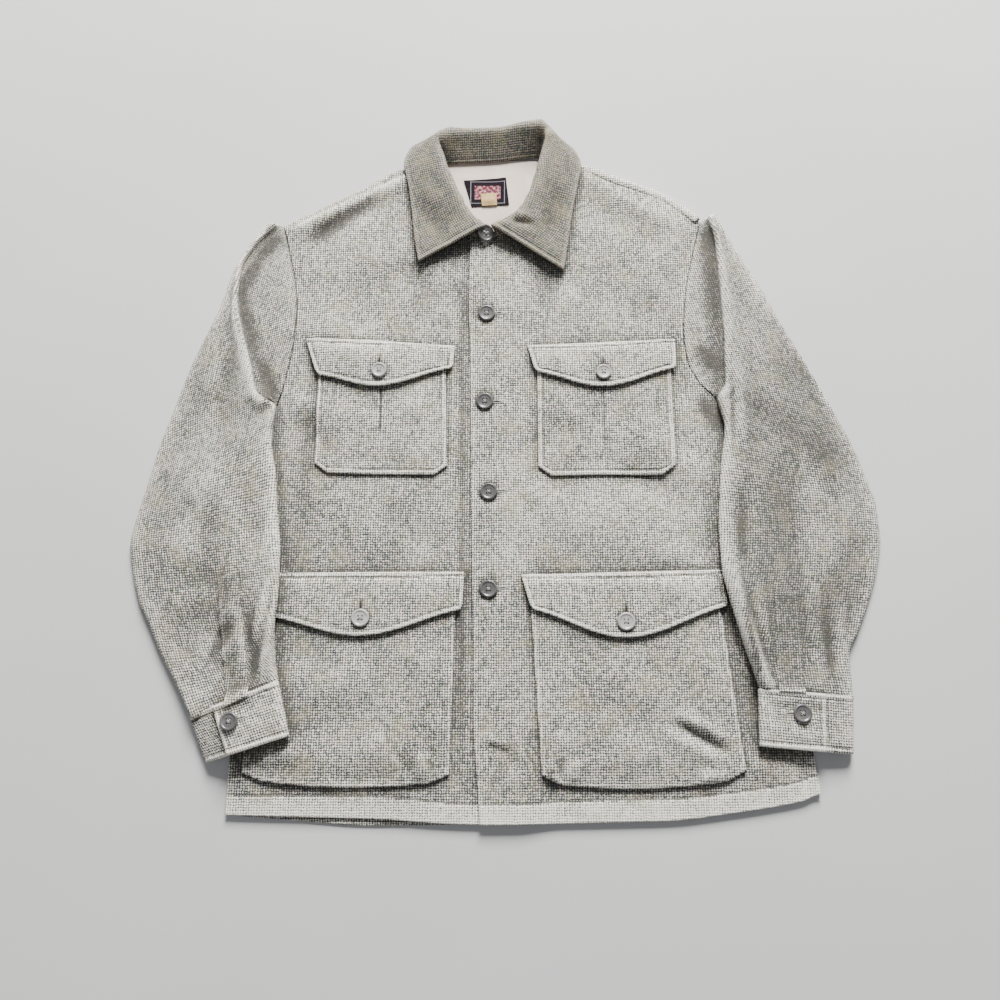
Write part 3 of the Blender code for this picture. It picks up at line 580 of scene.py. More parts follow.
def lining_places():
    """Middle points of the lining, a little puckered."""
    u = (places(LINING_SIZE[0], 3.0) / LINING_SIZE[0])[None, :]
    v = (places(LINING_SIZE[1], 3.0) / LINING_SIZE[1])[:, None]
    top = smooth((0, 0.25, 0.6, 1), LINING_TOP, u)
    x = LINING_LEFT + LINING_SIZE[0] * u + 0 * v
    y = LINING_LOW + (top - LINING_LOW) * v
    pucker = creases(x, y, (
        (-60, 352, -66, 310, 5, 0.5), (-6, 356, 10, 300, 7, 0.6), (24, 354, 34, 318, 6, 0.5),
        (-48, 300, -20, 285, 6, 0.4), (-70, 345, -40, 352, 4, 0.3)))
    return np.dstack((x, y, WOOL + GAP + LINING / 2 + pucker))


lining_finish = Finish("lining", Roughness=0.85, Sheen_Weight=0.1)
lining_grain = lining_finish.grain()
lining_twill = lining_finish.node("ShaderNodeTexWave", {"bands_direction": "DIAGONAL"},
                                  {"Vector": lining_grain, "Scale": 420.0, "Distortion": 1.5})
lining_cloud = lining_finish.noise(lining_grain, 30.0, 3.0)
lining_finish.wear(
    Base_Color=lining_finish.blend(lining_cloud * 0.8 + lining_twill * 0.15,
                                   (0.60, 0.50, 0.42, 1), (0.83, 0.74, 0.66, 1)),
    Normal=lining_finish.bump(lining_twill, 0.00015))
lining_middle = lining_places()
lining, lining_top = cloth("neck_lining_cloth", lining_middle, LINING, lining_middle[..., :2],
                           lining_finish)
pile.add(lining_top)
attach(lining, "root")
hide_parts("neck_lining")


def patch_places(corners, step, first=(0, 0.2, 0.6), last=(0, 0.2, 0.6)):
    """A grid of places between four corners: top left, top right, low left, low right."""
    top_left, top_right, low_left, low_right = (np.array(p, float) for p in corners)
    width = np.linalg.norm(low_right - low_left)
    height = np.linalg.norm(top_left - low_left)
    u = (places(width, step, first, last) / width)[None, :, None]
    v = (places(height, step, first, last) / height)[:, None, None]
    low = low_left + (low_right - low_left) * u
    high = top_left + (top_right - top_left) * u
    return low + (high - low) * v


LABEL = ((-51, 345), (2, 349), (-41, 308), (6, 311))
LABEL_HALF = (0.0245, 0.0185)    # half of its width and height, in metres
LABEL_THICK = 0.6
TAB_THICK = 0.8
SEWN_LIFT = 0.05
TAB = ((-30, 326), (-10, 327), (-28, 309), (-9, 310))
label_finish = Finish("woven_label", Roughness=0.95, Specular_IOR_Level=0.05)
label_grain = label_finish.grain()
label_ends = label_finish.node("ShaderNodeSeparateXYZ", {}, {0: label_grain})
label_side = label_ends.sum("ABSOLUTE") / LABEL_HALF[0]
label_rise = label_ends.beside(1).sum("ABSOLUTE") / LABEL_HALF[1]
label_rim = (label_side - 0.86).sum("ABSOLUTE").sum("MINIMUM", (label_rise - 0.80).sum("ABSOLUTE"))
label_line = (label_rim < 0.018) * (label_side < 0.89) * (label_rise < 0.84)
label_centre = (label_side < 0.66) * (label_rise < 0.5)
label_cloud = label_finish.noise(label_grain, 260.0, 3.0)
label_ribs = label_finish.node("ShaderNodeTexWave", {"bands_direction": "Y"},
                               {"Vector": label_grain, "Scale": 700.0})
label_colour = label_finish.blend(label_cloud * 0.4, (0.012, 0.010, 0.014, 1),
                                  (0.06, 0.04, 0.05, 1))
label_specks = label_finish.blend(((label_cloud - 0.45) * 6.0).clamped(),
                                  (0.16, 0.035, 0.05, 1), (0.62, 0.36, 0.38, 1))
label_colour = label_finish.blend(label_centre, label_colour, label_specks)
label_colour = label_finish.blend(label_line, label_colour, (0.30, 0.31, 0.33, 1))
label_finish.wear(Base_Color=label_colour, Normal=label_finish.bump(label_ribs, 0.0002))
label_place = patch_places(LABEL, 1.5)
label_lift = pile.settle(label_place[..., 0], label_place[..., 1], 6)
label_lift += LABEL_THICK / 2 + SEWN_LIFT
label_lift += creases(label_place[..., 0], label_place[..., 1],
                      ((2, 349, -4, 336, 5, 1.2), (-51, 345, -44, 338, 4, 0.8),
                       (4, 311, 0, 320, 4, 0.8)))
label, label_top = cloth("plain_label", np.dstack((label_place, label_lift)), LABEL_THICK,
                         label_place - label_place.reshape(-1, 2).mean(0), label_finish)
pile.add(label_top)
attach(label, "root")
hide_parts("neck_label")

tab_finish = Finish("tab", Roughness=0.8)
tab_cloud = tab_finish.noise(tab_finish.grain(), 500.0, 3.0)
tab_finish.wear(Base_Color=tab_finish.blend(tab_cloud, (0.30, 0.17, 0.05, 1),
                                            (0.66, 0.48, 0.24, 1)),
                Normal=tab_finish.bump(tab_cloud, 0.0003))
tab_place = patch_places(TAB, 1.5)
tab_lift = pile.settle(tab_place[..., 0], tab_place[..., 1], 6) + TAB_THICK / 2 + SEWN_LIFT
tab_lift += creases(tab_place[..., 0], tab_place[..., 1],
                    ((-28, 316, -10, 317, 4, 1.1), (-18, 327, -18, 310, 5, 0.6)))
tab, tab_top = cloth("plain_tab", np.dstack((tab_place, tab_lift)), TAB_THICK, tab_place,
                     tab_finish)
pile.add(tab_top)
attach(tab, "root")
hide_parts("size_tab")

# Fronts. Two panels of the wool, the left one buttoned over the right one, with a deep turned-up
# hem stitched along its top. They lie in soft waves and dip a little at each button.
FRONT_EDGE_Y = (-419, -364, -322, -241, -112, 108, 180, 268)
FRONT_EDGE_X = (-27, -31, -34, -35, -38, -41, -43, -42)
UNDER_EDGE_X = 6
FRONT_LENGTH = 780.0
FRONT_WIDTH_RIGHT = 290.0
FRONT_WIDTH_LEFT = 350.0
FRONT_LIFT = 1.2         # how far the fronts stand off the back where they have no fold
NECK = (-12, 318)
NECK_RING = (88, 125)    # from here outward the fronts rise
TOP_RIGHT = (
    # x, y, from the shoulder point round the neck to the front edge
    (-274, 283), (-232, 305), (-180, 333), (-125, 361), (-104, 357), (-90, 336), (-76, 311),
    (-58, 286), (-34, 272), (6, 268),
)
TOP_LEFT = (
    (243, 287), (228, 298), (194, 322), (144, 342), (90, 362), (72, 352), (60, 332), (46, 307),
    (24, 285), (-2, 273), (-42, 270),
)
FRONT_FOLDS = (
    # x0, y0, x1, y1, width, height: the waves of the solids, then smaller ones of the cloth
    (-120, 90, -250, 175, 34, 4.3),
    (-150, 220, -190, 290, 40, 3.8),
    (-30, -300, -34, 120, 22, -2.2),
    (-90, -60, -200, -110, 45, 5.1),
    (70, -80, 200, -120, 45, 4.8),
    (60, 40, 60, -60, 34, -2.6),
    (150, 190, 210, 290, 42, 4.3),
    (110, 250, 190, 160, 30, -2.2),
    (-100, -395, 180, -395, 22, -1.8),
    (-242, 262, -150, 332, 14, -3.6),
    (-268, 268, -112, 350, 12, 6.2),
    (228, 274, 110, 340, 10, 2.4),
    (214, 246, 110, 310, 18, -2.8),
    (-120, 236, -88, 176, 14, -2.6),
    (-100, 190, -44, 150, 16, 2.2),
    (-238, 196, -222, 150, 13, -2.2),
    (-250, 60, -180, 20, 12, 2.9),
    (-255, 30, -190, -10, 13, -2.6),
    (-150, -70, -60, -130, 18, -2.2),
    (-52, 190, -47, -390, 5, -2.9),
    (20, 236, 62, 196, 14, -2.4),
    (40, 160, 90, 190, 17, 2.2),
    (196, 230, 226, 160, 12, -3.2),
    (206, 120, 222, 60, 13, -3.0),
    (150, 20, 235, -40, 16, 3.2),
    (110, -10, 220, -75, 15, -2.6),
    (30, -50, 90, -100, 15, 1.9),
    (150, -120, 250, -145, 14, 2.2),
    (255, -260, 300, -340, 16, -3.5),
    (262, -352, 318, -372, 12, 2.6),
    (-21, -328, 2, -337, 5, 2.9),
    (-18, -336, 6, -346, 6, -2.2),
    (-10, -362, 16, -352, 9, -1.8),
    (-270, -384, -180, -390, 7, -1.3),
)
FRONT_BUTTONS = ((-22.5, 265), (-21.5, 163.5), (-23.5, 52.5), (-18.5, -56.5), (-18.5, -168.5))
HEM_DEPTH = 23.0
HEM_RISE = 0.55          # how far the hem's third layer lifts it
HEM_GROOVE = 0.65        # how deep its stitches pull it in
HEM_PUCKER = 0.25
HEM_HIGHLIGHT = 0.8           # the painted highlight on its band, and the painted shade along its stitches
HEM_STITCH_SHADE = 1.4
HEM_ROWS = EDGE + (14.0, 18.0, 21.0, 22.2, HEM_DEPTH, 23.8, 25.0, 27.5)


def front_swell(x, y):
    """How far the fronts stand off the back: low at every edge, with soft folds between."""
    sides = ramp(x - body_side(SIDE_RIGHT, y), 0, 30) * ramp(body_side(SIDE_LEFT, y) - x, 0, 30)
    edge = sides * ramp(y - np.interp(x, HEM_X, HEM_Y), 0, 45)
    shoulder = ramp(np.interp(x, BACK_TOP_X, BACK_TOP_Y) - y, 0, 12)
    neck = ramp(np.hypot(x - NECK[0], y - NECK[1]), *NECK_RING)
    return edge * (FRONT_LIFT + creases(x, y, FRONT_FOLDS)) * shoulder * neck


def front_places(side, top, front_x, width):
    """Places of a front, from side to front edge and from hem to shoulder, and their distance
    from the hem."""
    side = np.array(side, float)
    v = (places(FRONT_LENGTH, 3.4, HEM_ROWS) / FRONT_LENGTH)[:, None]
    u = (places(width, 3.3) / width)[None, :]
    side_y = side[0, 1] + (side[-1, 1] - side[0, 1]) * v
    side_x = smooth(side[:, 1], side[:, 0], side_y)
    top_x, top_y = np.array(sorted(top), float).T
    hem_x = side[0, 0] + (front_x(np.array(HEM_Y[4], float)) - side[0, 0]) * u
    hem_y = smooth(HEM_X, HEM_Y, hem_x)
    x = side_x + 0 * u
    for turn in range(6):
        y = hem_y + (smooth(top_x, top_y, x) - hem_y) * v
        x = side_x + (front_x(y) - side_x) * u
    lean = (1 - ramp(u, 0, 0.05)) * (side_y - y) * (1 - ramp(v, 0.93, 1))
    return x, y + lean, v * FRONT_LENGTH + 0 * u


def front_height(x, y, in_from_hem):
    """Middle height of a front over the back and the neck lining, with its hem."""
    over_lining = ramp(x, -150, -115) * (1 - ramp(x, 95, 130)) * ramp(y, 205, 238)
    hem = HEM_RISE * (1 - ramp(in_from_hem, HEM_DEPTH - 2, HEM_DEPTH + 2))
    hem -= HEM_GROOVE * bell(in_from_hem, HEM_DEPTH, 1.2)
    hem += HEM_PUCKER * np.sin(x / 9.0) * bell(in_from_hem, HEM_DEPTH + 2, 7.0)
    return WOOL + GAP + WOOL / 2 + over_lining * (LINING + GAP) + front_swell(x, y) + hem


def hem_marks(in_from_hem):
    """Painted highlight on the hem's band, and painted shade along the line where its stitches pull
    the cloth in.
    """
    band = 1 - ramp(in_from_hem, HEM_DEPTH - 2.5, HEM_DEPTH - 0.5)
    return HEM_HIGHLIGHT * band - HEM_STITCH_SHADE * bell(in_from_hem, HEM_DEPTH, 1.0)


x, y, in_from_hem = front_places(SIDE_RIGHT, TOP_RIGHT, lambda y: UNDER_EDGE_X + 0 * y,
                                 FRONT_WIDTH_RIGHT)
height = front_height(x, y, in_from_hem)
height -= 2.0 * (1 - ramp(FRONT_LENGTH - in_from_hem, 0, 6)) * (x < -108)
front_right, surface = cloth("front_right_panel", np.dstack((x, y, height)), WOOL,
                             np.dstack((x, y)), body_wool, 0, hem_marks(in_from_hem))
pile.add(surface)
seams.append(surface[HEM_ROWS.index(HEM_DEPTH)])
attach(front_right, "root")
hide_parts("front_right")

x, y, in_from_hem = front_places(SIDE_LEFT, TOP_LEFT,
                                 lambda y: smooth(FRONT_EDGE_Y, FRONT_EDGE_X, y),
                                 FRONT_WIDTH_LEFT)
height = front_height(x, y, in_from_hem) + (WOOL + GAP + 0.4) * (1 - ramp(x, 12, 60))
for button_x, button_y in FRONT_BUTTONS[1:]:
    away = np.hypot(x - button_x, (y - button_y) * 0.9)
    height += 0.5 * bell(away, 19.0, 7.0) - 0.9 * bell(away, 0, 11.0)
grid = np.dstack((x, y, height))[:, ::-1]
front_left, surface = cloth("front_left_panel", grid, WOOL, grid[..., :2], body_wool, 0,
                            hem_marks(in_from_hem)[:, ::-1])
pile.add(surface)
seams.append(surface[HEM_ROWS.index(HEM_DEPTH)])
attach(front_left, "root")
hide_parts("front_left")

# Pockets. Two patch pockets on the chest, stitched down inside their edges with clipped corners,
# and two bellows pockets at the hips whose edges stand off the fronts.
POCKETS = {
    # name: left edge and right edge from the bottom up, sag, swell, corner cut, edge's stand-off
    "chest_pocket_right": (((-221, -34), (-222, 117)), ((-66, -37), (-70, 116)), 2, 1.5, 12, 0.5),
    "chest_pocket_left": (((38, -38), (38, 116)), ((198, -37), (198, 117)), 0, 1.5, 12, 0.5),
    "hip_pocket_right": (((-283, -371), (-274, -161)), ((-60, -374), (-54, -161)), 9, 2.4, 6, 1.3),
    "hip_pocket_left": (((39, -376), (27, -161)), ((259, -371), (238, -161)), 9, 2.4, 8, 1.3),
}
POCKET_CREASES = {
    "chest_pocket_right": ((-200, 60, -150, 20, 12, 1.2), (-110, 60, -80, 0, 13, 1.0),
                           (-190, -15, -110, -22, 9, -0.9), (-150, 40, -120, -10, 14, 0.9)),
    "chest_pocket_left": ((70, 50, 110, 0, 12, 1.0), (150, 55, 190, 10, 12, 1.2),
                          (60, -22, 130, -18, 8, -0.9), (178, -10, 150, 30, 12, 0.9)),
    "hip_pocket_right": ((-240, -225, -180, -260, 18, -2.0), (-190, -262, -120, -290, 22, 2.5),
                         (-120, -240, -76, -250, 15, 1.6), (-262, -352, -215, -340, 9, 2.3),
                         (-88, -372, -90, -345, 6, 3.9), (-102, -366, -112, -342, 7, -2.1),
                         (-230, -300, -170, -320, 20, -1.6), (-70, -300, -66, -360, 6, 1.8),
                         (-210, -366, -120, -372, 8, -1.2), (-150, -330, -110, -352, 14, 1.8)),
    "hip_pocket_left": ((60, -225, 110, -250, 16, -1.8), (110, -262, 190, -285, 22, 2.1),
                        (184, -314, 238, -343, 5, -4.5), (190, -304, 244, -331, 7, 3.5),
                        (176, -324, 226, -352, 7, 2.3), (60, -372, 62, -350, 4, -2.9),
                        (50, -378, 52, -352, 6, 4.2), (72, -374, 76, -352, 6, 2.9),
                        (120, -330, 160, -352, 15, 1.8), (206, -372, 236, -366, 7, 2.9),
                        (80, -300, 60, -340, 12, 1.6), (228, -240, 240, -300, 10, 1.8)),
}
SIDE_COLUMNS = (0.0, 0.5, 1.2, 2.2, 3.4, 4.6, 5.8, 6.5, 7.2, 8.6, 11.0)
EDGE_INSET = (1.6, 0.7, 0.1, 0.0, 0.3, 0.3, 0.2, 0.1, 0.0, 0.0, 0.0)
EDGE_LIFT = (0.0, 0.25, 0.55, 0.85, 1.0, 1.0, 1.0, 1.0, 1.0, 1.0, 1.0)
TOP_COLUMNS = (0.0, 0.3, 1.2, 2.6, 5.0)
POCKET_STITCH = 6.5
SLITS = {
    # name of the pocket: how far in from its left edge, y of the lower end, y of the upper end
    "chest_pocket_right": (77.0, 14, 66), "chest_pocket_left": (78.5, -2, 66),
}
SLIT_COLUMNS = np.array((-1.8, -0.9, 0.0, 0.9, 1.8))
SLIT_DEPTH = 0.9
SLIT_SHADE = 2.4           # how dark the painted shade in the slits is
POCKET_GROOVE = 0.55     # how deep the chest pockets' stitches pull them in
CHEST_WELT_LIGHT = 0.6         # how strong the painted highlight on the pockets' raised edges is
HIP_WELT_LIGHT = 0.25


def pocket_places(left, right, sag, cut, stand, swell, slit_in):
    """Places of a pocket, and how high each stands off what is under it."""
    left_low, left_top, right_low, right_top = (np.array(p, float) for p in left + right)
    width = np.linalg.norm(right_low - left_low)
    height = np.linalg.norm(left_top - left_low)
    s = places(width, 3.0, SIDE_COLUMNS, SIDE_COLUMNS)
    if slit_in:
        s = np.sort(np.concatenate((s[np.abs(s - slit_in) > 2.4], slit_in + SLIT_COLUMNS)))
    s = s[None, :]
    t = places(height, 3.0, SIDE_COLUMNS, TOP_COLUMNS)[:, None]
    near = np.minimum(s, width - s)
    inset = np.interp(near, SIDE_COLUMNS, EDGE_INSET)
    inset = np.where(s < width / 2, inset, -inset)
    u = ((s + inset) / width)[..., None]
    v = ((t + np.interp(t, SIDE_COLUMNS, EDGE_INSET)) / height)[..., None]
    place = ((left_low * (1 - v) + left_top * v) * (1 - u)
             + (right_low * (1 - v) + right_top * v) * u)
    side = 2 * np.abs(u[..., 0] - 0.5)
    v = v[..., 0]
    place[..., 1] += (np.clip((side - 0.8) / 0.2, 0, 1) * np.clip(1 - v * 6, 0, 1) * cut
                      - sag * (1 - side ** 2) * (1 - v))
    wall = np.interp(np.minimum(near, t), SIDE_COLUMNS, EDGE_LIFT)
    body = ramp(near, 4, 34) * ramp(t, 4, 34) * (1 - 0.4 * ramp(v, 0.7, 1))
    groove = bell(np.minimum(near, t), POCKET_STITCH, 0.9)
    return place, stand * wall + swell * body, groove, wall, s + 0 * t


for name, (left, right, sag, swell, cut, stand) in POCKETS.items():
    slit_in, slit_low, slit_top = SLITS.get(name, (0, 0, 0))
    place, lift, groove, wall, across = pocket_places(left, right, sag, cut, stand, swell, slit_in)
    x, y = place[..., 0], place[..., 1]
    height = pile.settle(x, y, 3) + WOOL / 2 + lift
    height += creases(x, y, POCKET_CREASES[name]) * wall
    painted_marks = 0 * x
    if slit_in:
        height -= POCKET_GROOVE * groove
        slit = bell(across, slit_in, 0.9) * ramp(y, slit_low - 1, slit_low + 1)
        slit *= 1 - ramp(y, slit_top, slit_top + 3)
        height -= SLIT_DEPTH * slit
        # Painted shade along the pocket's slit.
        painted_marks = -SLIT_SHADE * slit
    pocket, surface = cloth(name + "_cloth", np.dstack((x, y, height)), WOOL, place, body_wool,
                            CHEST_WELT_LIGHT if slit_in else HIP_WELT_LIGHT, painted_marks)
    pile.add(surface)
    if name.startswith("chest"):
        k = SIDE_COLUMNS.index(POCKET_STITCH)
        seams.append(np.vstack((surface[:k:-1, k], surface[k, k:-k], surface[k:, -k - 1])))
    hand = name.rsplit("_", 1)[1]
    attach(pocket, "root")
    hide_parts(name)
    under = front_right if hand == "right" else front_left
    size = (0.16, 0.155) if name.startswith("chest") else (0.228, 0.218)

# Flaps. A pointed flap of doubled wool over each pocket, stitched down along its top and welted
# round its lower edge, held by a pearly button.
FLAPS = {
    # name: left top, right top, left bottom, right bottom, point, swell
    "chest_flap_right": ((-238, 131), (-59, 122), (-222, 84), (-62, 93), (-148, 69), 1.0),
    "chest_flap_left": ((27, 121), (204, 131), (36, 88), (203, 93), (117, 69), 1.0),
    "hip_flap_right": ((-268, -151), (-46, -149), (-262, -200), (-48, -192), (-158, -221), 1.2),
    "hip_flap_left": ((18, -153), (244, -147), (29, -192), (249, -188), (134, -223), 1.2),
}
FLAP_BUTTONS = {
    # name of the flap: x, y
    "chest_flap_right": (-147.5, 87.5), "chest_flap_left": (116.5, 86.5),
    "hip_flap_right": (-159.5, -201.5), "hip_flap_left": (133.5, -205.5),
}
FLAP_CREASES = {
    "chest_flap_right": ((-200, 118, -160, 100, 9, 1.0), (-80, 112, -66, 96, 6, -1.3),
                         (-110, 110, -90, 92, 8, 0.9)),
    "chest_flap_left": ((60, 110, 90, 92, 8, 1.0), (180, 118, 196, 100, 8, 1.1),
                        (40, 108, 46, 94, 6, 1.0)),
    "hip_flap_right": ((-230, -168, -180, -196, 11, 1.1), (-120, -170, -80, -180, 10, 1.1),
                       (-66, -160, -56, -182, 7, -1.1)),
    "hip_flap_left": ((60, -170, 100, -196, 11, 1.1), (170, -165, 220, -180, 12, 1.4),
                      (196, -180, 160, -200, 9, -1.3)),
}
FLAP_THICK = 3.0
FLAP_HEIGHT = 52.0
FLAP_ARCH = 1.5          # how far the lower edge stands off, as a share of the swell
TOP_GROOVE = 1.1         # how deep the stitches along the top pull it in
WELT_GROOVE = 0.6
BUTTON_DIP = 0.7
FLAP_WELT_LIGHT = 0.85         # how strong the painted highlight on its raised edge is


def flap_places(top_a, top_b, low_a, low_b, point):
    """Places of a flap, straight along its top and curved to a point below. Also how far each is
    from the nearer side and from the lower edge, and how near to the point across."""
    top_a, top_b, low_a, low_b = (np.array(p, float) for p in (top_a, top_b, low_a, low_b))
    width = np.linalg.norm(top_b - top_a)
    s = places(width, 2.6)[None, :]
    t = places(FLAP_HEIGHT, 2.6)[:, None]
    u = s / width
    middle = (point[0] - low_a[0]) / (low_b[0] - low_a[0])
    reach = np.where(u < middle, u / middle, (1 - u) / (1 - middle))
    level = low_a[1] * (1 - middle) + low_b[1] * middle
    low = low_a * (1 - u[..., None]) + low_b * u[..., None]
    curve = 0.55 * (0.5 - 0.5 * np.cos(reach * math.pi)) + 0.45 * np.sin(reach * math.pi / 2)
    low[..., 1] += (point[1] - level) * curve
    top = top_a * (1 - u[..., None]) + top_b * u[..., None]
    place = low + (top - low) * (t / FLAP_HEIGHT)[..., None]
    corner = bell(np.minimum(s, width - s), 0, 4.0) * bell(t, 0, 4.0)
    inward = place[len(t) // 2, s.shape[1] // 2] - place
    inward /= np.maximum(np.linalg.norm(inward, axis=2, keepdims=True), 1.0)
    place += 2.2 * corner[..., None] * inward
    return place, np.minimum(s, width - s) + 0 * t, t + 0 * s, reach


for name, (top_a, top_b, low_a, low_b, point, swell) in FLAPS.items():
    place, in_side, in_low, reach = flap_places(top_a, top_b, low_a, low_b, point)
    x, y = place[..., 0], place[..., 1]
    height = pile.settle(x, y, 40) + FLAP_THICK / 2
    height += FLAP_ARCH * swell * (1 - in_low / FLAP_HEIGHT) * (0.5 + 0.5 * reach) + 0.2
    height += creases(x, y, FLAP_CREASES[name])
    in_top = FLAP_HEIGHT - in_low
    height -= TOP_GROOVE * bell(in_top, STITCH_IN, 1.3)
    round_edge = bell(np.minimum(in_side, in_low), STITCH_IN, 1.3)
    height -= WELT_GROOVE * round_edge * ramp(in_top, STITCH_IN, 8)
    away = np.hypot(x - FLAP_BUTTONS[name][0], y - FLAP_BUTTONS[name][1])
    height -= BUTTON_DIP * bell(away, 0, 9.0)
    flap, surface = cloth(name + "_cloth", np.dstack((x, y, height)), FLAP_THICK, place, body_wool,
                          FLAP_WELT_LIGHT)
    pile.add(surface)
    k = EDGE.index(STITCH_IN)
    seams.append(surface[-k - 1])
    seams.append(np.vstack((surface[-k - 2:k:-1, k], surface[k, k:-k], surface[k:-k - 1, -k - 1])))
    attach(flap, "root")
    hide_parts(name)
    size = (0.18, 0.058) if name.startswith("chest") else (0.228, 0.07)
    name.replace("flap", "pocket") + "_cloth"
    0.78 * size[0] * size[1]

# Sleeves. Each is a flattened tube. Its cap is sewn to the armhole and folded over into a valley
# beside it, and the cloth turns with the sleeve's slant.
SLEEVE_RIGHT = (
    # seam_x, seam_y, outer_x, outer_y, valley, fold, crown
    (-274, 283, -292, 285, 7, 10.0, 9.5),
    (-268, 262, -319, 247, 40, 14.0, 9.0),
    (-262, 238, -334, 212, 62, 17.0, 9.0),
    (-255, 208, -345, 171, 72, 19.0, 10.0),
    (-251, 170, -361, 130, 69, 20.0, 11.0),
    (-252, 135, -374, 95, 58, 20.0, 11.5),
    (-256, 103, -386, 54, 45, 19.0, 12.0),
    (-262, 72, -395, 24, 31, 18.0, 12.0),
    (-268, 44, -405, -12, 0, 17.0, 12.0),
    (-271, 8, -413, -50, 0, 15.0, 12.0),
    (-263, -40, -421, -84, 0, 16.0, 12.0),
    (-257, -90, -426, -115, 0, 17.0, 12.0),
    (-251, -130, -421, -145, 0, 19.0, 12.0),
    (-250, -170, -411, -180, 0, 22.0, 12.5),
    (-252, -205, -397, -208, 0, 23.0, 13.0),
    (-251, -233, -382, -238, 0, 21.0, 13.0),
    (-249, -252, -362, -272, 0, 20.5, 13.0),
    (-246, -266, -344, -304, 0, 20.5, 13.0),
)
SLEEVE_LEFT = (
    (243, 287, 262, 299, 10, 12.0, 9.0),
    (236, 262, 281, 257, 22, 17.0, 9.0),
    (229, 235, 296, 229, 30, 19.0, 10.0),
    (222, 205, 312, 198, 38, 20.0, 11.0),
    (217, 170, 329, 161, 44, 20.0, 12.0),
    (215, 135, 348, 123, 47, 20.0, 12.0),
    (218, 105, 364, 90, 43, 19.0, 12.0),
    (230, 78, 379, 58, 31, 18.0, 12.0),
    (250, 54, 393, 28, 0, 17.0, 12.0),
    (256, 20, 407, -5, 0, 16.0, 12.0),
    (250, -20, 419, -42, 0, 17.0, 12.0),
    (245, -65, 427, -75, 0, 17.0, 12.0),
    (242, -105, 428, -108, 0, 18.0, 12.0),
    (242, -145, 421, -145, 0, 21.0, 12.5),
    (247, -175, 408, -182, 0, 23.0, 13.0),
    (255, -206, 395, -212, 0, 22.5, 13.0),
    (265, -240, 381, -243, 0, 21.0, 13.0),
    (275, -273, 381, -281, 0, 20.5, 13.0),
)
SLEEVE_CREASES = {
    "right": (
        (-323, 168, -328, -8, 13, -4.0), (-300, 95, -288, 40, 7, 2.9),
        (-286, 42, -264, 66, 5, 5.0), (-276, 36, -262, 52, 5, -3.2),
        (-256, -171, -273, -262, 4, -4.7), (-262, -168, -280, -262, 6, 3.6),
        (-246, -176, -264, -262, 7, 3.2), (-306, -143, -286, -262, 5, 2.2),
        (-315, -214, -299, -189, 6, 2.7), (-313, -246, -294, -227, 6, 2.9),
        (-324, -236, -304, -206, 6, -2.2), (-340, -250, -318, -225, 8, 2.3),
        (-380, -80, -320, -110, 22, -2.6), (-390, -20, -330, -60, 24, 2.9),
        (-370, -190, -320, -170, 12, 2.0), (-352, 60, -330, 130, 13, 2.6),
        (-300, -40, -280, -120, 14, -2.2), (-370, -150, -300, -170, 14, -1.8),
        (-270, -60, -262, -140, 7, 2.2), (-366, -236, -340, -262, 7, 1.8),
    ),
    "left": (
        (266, 78, 263, 0, 4, -3.6), (276, 80, 273, -6, 6, 2.6),
        (271, -52, 265, -158, 8, -3.6), (254, -153, 282, -268, 5, 4.0),
        (264, -160, 290, -266, 5, -4.4), (327, 16, 316, -136, 20, -3.6),
        (354, -181, 357, -276, 10, -3.2), (370, -200, 366, -272, 8, 2.6),
        (340, -150, 348, -262, 10, 2.2), (300, 150, 310, 60, 16, 2.6),
        (380, -20, 400, -110, 16, 2.7), (290, -20, 284, -120, 12, 2.3),
        (345, 110, 380, 30, 13, -2.2), (312, -190, 316, -262, 9, 1.8),
        (404, -150, 372, -230, 9, -1.8), (300, 206, 316, 150, 9, 1.8),
    ),
}
SEAM_ROWS = 9
UNDERARM = 14.0
ROLL_HEIGHT = 7.6
BODY_STEP = 13.0
SLEEVE_STEP = 3.2
SLEEVE_AROUND = 121      # points round a section
TUCK = ((2.0, 0.95), (4.0, 0.84), (6.5, 0.74), (9.0, 0.68))   # into the cuff, share of height


def highest_under(table, side):
    """The highest point of what is under the inner part of each sleeve section."""
    found = []
    for k, row in enumerate(table):
        best = 0.0
        for share in np.linspace(-0.75, 0.75, 7):
            near = np.array(table[min(max(k + (1 if share > 0 else -1), 0), len(table) - 1)])
            line = np.array(row) * (1 - abs(share)) + near * abs(share)
            seam, outer = line[0:2], line[2:4]
            out = (outer - seam) / np.linalg.norm(outer - seam)
            edge = abs(body_side(side, seam[1]) - seam[0])
            spots = seam + out * np.arange(0, edge + 1, 3.0)[:, None]
            best = max(best, pile.under(spots[:, 0], spots[:, 1], 3.0).max())
        found.append(best)
    return found


